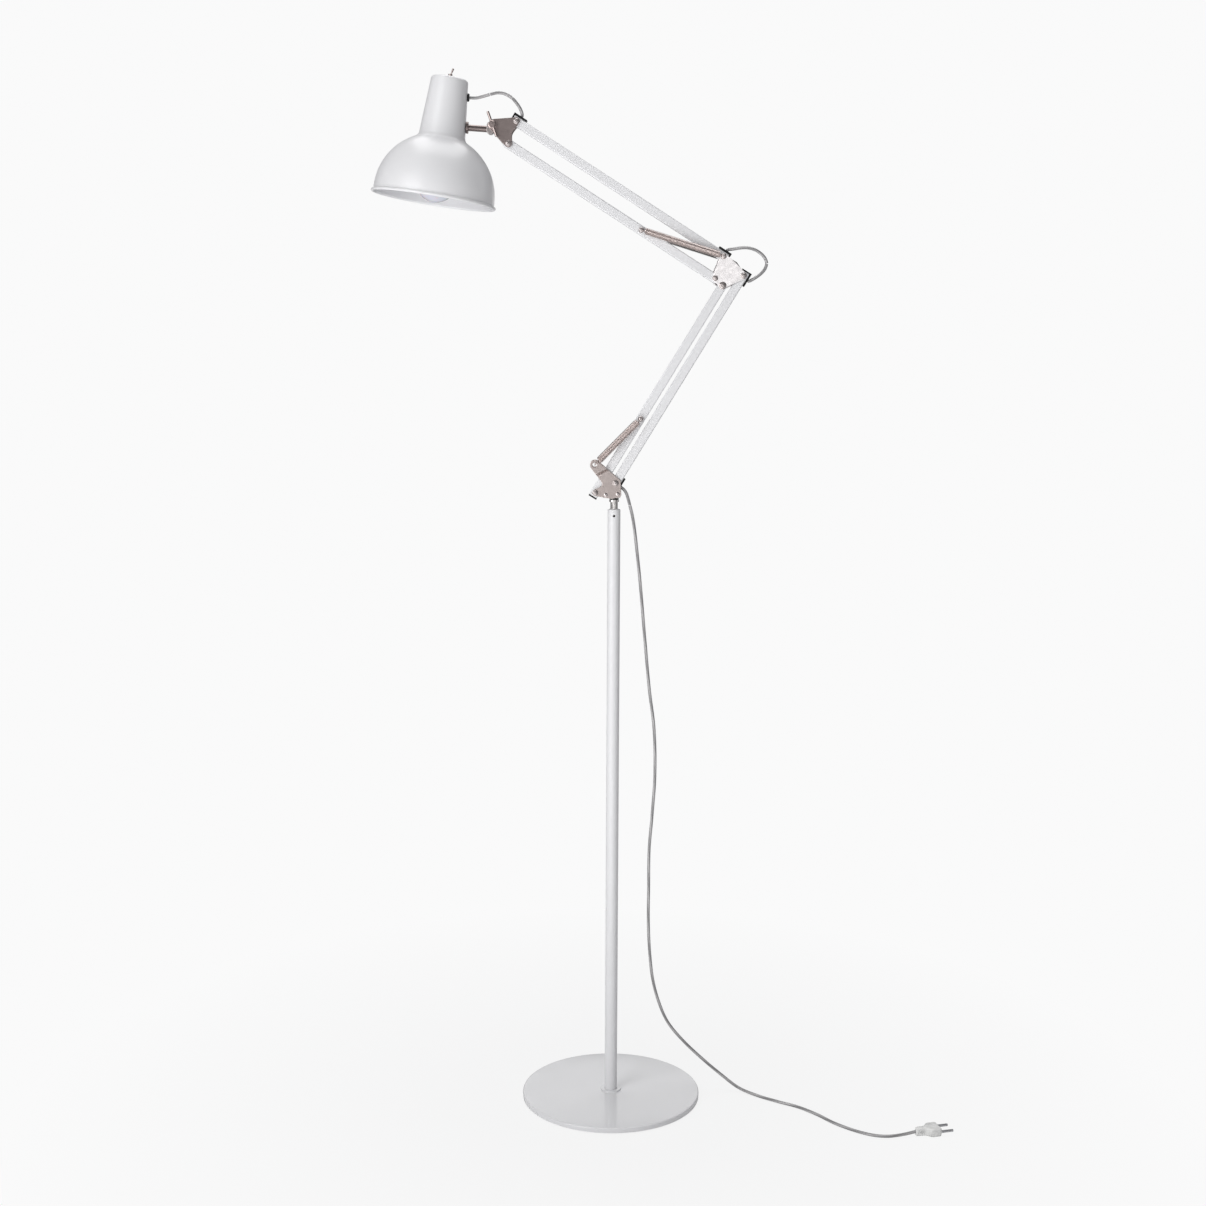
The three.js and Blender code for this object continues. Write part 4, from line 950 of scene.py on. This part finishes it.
def shade_outline(inset, rim_height, dome_steps=28):
    """The outline from the rim to the neck's rounded top edge, set in by a wall thickness."""
    corner = fillet_centre()
    radius = SHADE_RADIUS - inset
    lowest = math.degrees(math.asin((rim_height - DOME_CENTRE) / radius))
    highest = math.degrees(math.atan2(corner[1] - DOME_CENTRE, corner[0]))
    slope = math.degrees(NECK_SLOPE)
    edge = 4 * MM
    shoulder = (neck_radius(NECK_TOP - edge) - edge, NECK_TOP - edge)
    points = arc((0, DOME_CENTRE), radius, lowest, highest, dome_steps)
    points += arc(corner, NECK_FILLET + inset, highest + 180, slope + 180, 10)[1:]
    low, high = points[-1], arc(shoulder, edge - inset, slope, 90, 8)[0]
    points += [(low[0] + (high[0] - low[0]) * i / 8, low[1] + (high[1] - low[1]) * i / 8)
               for i in range(1, 8)]
    return points + arc(shoulder, edge - inset, slope, 90, 8)


def add_shade():
    place = shade_frame()
    bead = arc((SHADE_RADIUS + 1 * MM, 0.6 * MM), 2.1 * MM, -110, 95, 12)
    outside = shade_outline(0, 3.6 * MM)
    inside = shade_outline(SHADE_WALL, 1 * MM)[::-1]
    hole = 3.4 * MM
    profile = [*bead, *outside, (hole, NECK_TOP), (hole, NECK_TOP - SHADE_WALL), *inside]
    shell = turned("shade_shell_piece", profile, 128, place)
    for height, radius in ((STEM_HEIGHT, 4.2 * MM), (GROMMET_HEIGHT, 4.4 * MM)):
        out = Matrix.Rotation(math.pi / 2 - NECK_SLOPE, 4, "Y")
        at = place @ Matrix.Translation((neck_radius(height), 0, height)) @ out
        drill = turned("drill", [(0, -8 * MM), (radius, -8 * MM), (radius, 8 * MM), (0, 8 * MM)],
                       32, at)
        shell = cut_by(shell, drill)
    finished(soften(shell, 32), PAINT, "shade", ("shade_shell",))


def add_bulb():
    """A pearl globe lamp with a screw cap up in the lampholder."""
    centre, radius = 26.5 * MM, 30 * MM
    globe = arc((0, centre), radius, -90, 38, 28)
    globe[0] = (0, centre - radius)
    neck = [(20.5 * MM, 51 * MM), (18.2 * MM, 57 * MM), (16.2 * MM, 64 * MM), (14.6 * MM, 72 * MM),
            (14 * MM, 78 * MM), (13 * MM, 79 * MM)]
    cap = []
    for i in range(25):
        wave = 0.5 * MM * math.cos(i * math.pi / 2)
        cap.append((12.5 * MM + wave, (80 + i * 0.9) * MM))
    end = [(6 * MM, 105.5 * MM), (0, 105.5 * MM)]
    piece = turned("bulb_piece", [*globe, *neck, *cap, *end], 64, shade_frame())
    finished(soften(piece, 40), OPAL, "shade", ("bulb",))


def add_toggle():
    """A slim bat lever in a threaded bush."""
    place = Matrix.Translation(PIVOT["toggle_flick"]) @ Matrix.Rotation(
        SHADE_TILT + math.radians(15), 4, "Y"
    )
    profile = [(0, 0.3), (0.75, 0.3), (0.8, 3.2), (1.05, 6.3), (1.35, 9.2), (1.45, 10.6),
               (1.25, 11.4), (0.8, 11.9), (0, 12)]
    profile = [(r * MM, h * MM) for r, h in profile]
    piece = soften(turned("toggle_lever_piece", profile, 24, place), 50)
    finished(piece, DARK_NICKEL, "toggle", ("toggle_lever",))


# ------------------------------------------------------------------ CAD nodes that stay
def dress_frame():
    """The CAD nodes that stay on show get their materials and small rounded edges."""
    looks = {
        PAINT: (0.35, ["lower_arm_tube_right", "lower_arm_tube_left", "upper_arm_tube_top",
                       "upper_arm_tube_bottom"]),
        CHROME: (0.3, ["swivel_post"]),
        # The elbow web is drawn near-black as painted shade in the elbow's bend; the set screw is
        # black steel.
        BLACK_STEEL_AND_PAINTED_SHADE: (0.3, ["elbow_web", "pole_set_screw"]),
        DARK_NICKEL: (0.25, ["clamp_tee", "toggle_switch"]),
        BLACK: (0.35, ["swivel_washer", "lower_arm_exit_cap", "lower_arm_elbow_cap",
                       "lower_arm_end_cap", "lower_arm_round_plug", "upper_arm_elbow_cap",
                       "upper_arm_head_cap", "upper_arm_round_plug", "shade_grommet"]),
        WHITE_PLASTIC: (0.4, ["pole_top_bush", "lampholder"]),
        STEEL: (0.25, ["base_bolt", "plug_pin_left", "plug_pin_right"]),
        FOAM: (0.3, ["base_pad"]),
    }
    for material, (width, names) in looks.items():
        for name in names:
            node = NODES[name]
            node.data.materials.clear()
            node.data.materials.append(material)
            soften(node, 32)
            if "arm_tube" not in name:
                round_edges(node, width * MM)


# ------------------------------------------------------------------ studio
BACKDROP = (0.955, 0.955, 0.956)


def seen_or_lit(tree, seen, lit):
    """Camera rays get the first shader, and every other ray the second."""
    path = tree.nodes.new("ShaderNodeLightPath")
    mix = tree.nodes.new("ShaderNodeMixShader")
    tree.links.new(path.outputs["Is Camera Ray"], mix.inputs["Fac"])
    tree.links.new(lit, mix.inputs[1])
    tree.links.new(seen, mix.inputs[2])
    return mix.outputs["Shader"]


def add_floor():
    """A pale floor that looks as white as the backdrop, with a faint shadow under the lamp."""
    floor = turned("floor", [(0, -0.4 * MM), (7, -0.4 * MM)], 96)
    surface = Surface("floor", (0.82, 0.82, 0.822), 0.75)
    surface.vary_roughness(surface.noise(3, 3), 0.05)
    surface.bump(surface.noise(180, 2), 0.00005, 0.2)
    tree = surface.material.node_tree
    glow = surface.nodes.new("ShaderNodeEmission")
    glow.inputs["Color"].default_value = (*BACKDROP, 1)
    distance = surface.nodes.new("ShaderNodeVectorMath")
    distance.operation = "LENGTH"
    surface.links.new(surface.place(), distance.inputs[0])
    fade = surface.range(distance.outputs["Value"], 0.88, 1.0, 0.2, 0.9)
    mix = surface.nodes.new("ShaderNodeMixShader")
    surface.links.new(fade, mix.inputs["Fac"])
    surface.links.new(surface.shader.outputs["BSDF"], mix.inputs[1])
    surface.links.new(glow.outputs["Emission"], mix.inputs[2])
    both = seen_or_lit(tree, mix.outputs["Shader"], surface.shader.outputs["BSDF"])
    surface.links.new(both, surface.nodes["Material Output"].inputs["Surface"])
    floor.data.materials.append(surface.material)


def add_world():
    """Even white where the camera looks, and a dim grey room as far as light and mirrors go."""
    world = bpy.data.worlds.new("studio")
    bpy.context.scene.world = world
    world.use_nodes = True
    tree = world.node_tree
    room = tree.nodes["Background"]
    room.inputs["Color"].default_value = (0.9, 0.9, 0.92, 1)
    room.inputs["Strength"].default_value = 0.22
    seen = tree.nodes.new("ShaderNodeBackground")
    seen.inputs["Color"].default_value = (*BACKDROP, 1)
    both = seen_or_lit(tree, seen.outputs["Background"], room.outputs["Background"])
    tree.links.new(both, tree.nodes["World Output"].inputs["Surface"])


def add_light(name, place, target, size, watts, colour=(1, 1, 1)):
    data = bpy.data.lights.new(name, "AREA")
    data.shape = "RECTANGLE"
    data.size, data.size_y = size
    data.energy = watts
    data.color = colour
    light = bpy.data.objects.new(name, data)
    bpy.context.scene.collection.objects.link(light)
    light.location = place
    aim = Vector(target) - Vector(place)
    light.rotation_euler = aim.to_track_quat("-Z", "Y").to_euler()
    light.visible_camera = False


def add_lights():
    add_light("key", (-1.9, -2.2, 1.45), (0, 0, 0.9), (1.6, 2.5), 43)
    add_light("top", (0, 0.6, 3.2), (0, 0, 0), (2, 2), 37)
    add_light("back", (0, 3.1, 1.45), (0, 0, 0.2), (3, 0.9), 8)
    add_light("front", (0, -3.3, 0.95), (0, 0, 0.95), (2.2, 1.6), 3.4)
    add_light("foot", (1.1, -2.7, 0.32), (0, 0, 0.08), (1.8, 0.5), 3.4)
    add_light("strip", (2.3, -0.2, 1.5), (0, 0, 1.2), (0.35, 1.8), 1.2)
    add_light("bounce", (-0.9, -1.7, 0.02), (-0.9, -1.7, 1), (2.4, 2), 25)
    add_light("card", (0.37, -2.85, 1.42), (0.163, 0, 1.266), (0.6, 0.5), 1.6)
    bpy.context.scene.view_settings.view_transform = "Standard"


add_camera()
plug = add_plug()
add_cords()
add_springs()
add_base()
add_pole()
add_fasteners()
add_plates()
add_stem()
add_shade()
add_bulb()
add_toggle()
dress_frame()
add_floor()
add_world()
add_lights()
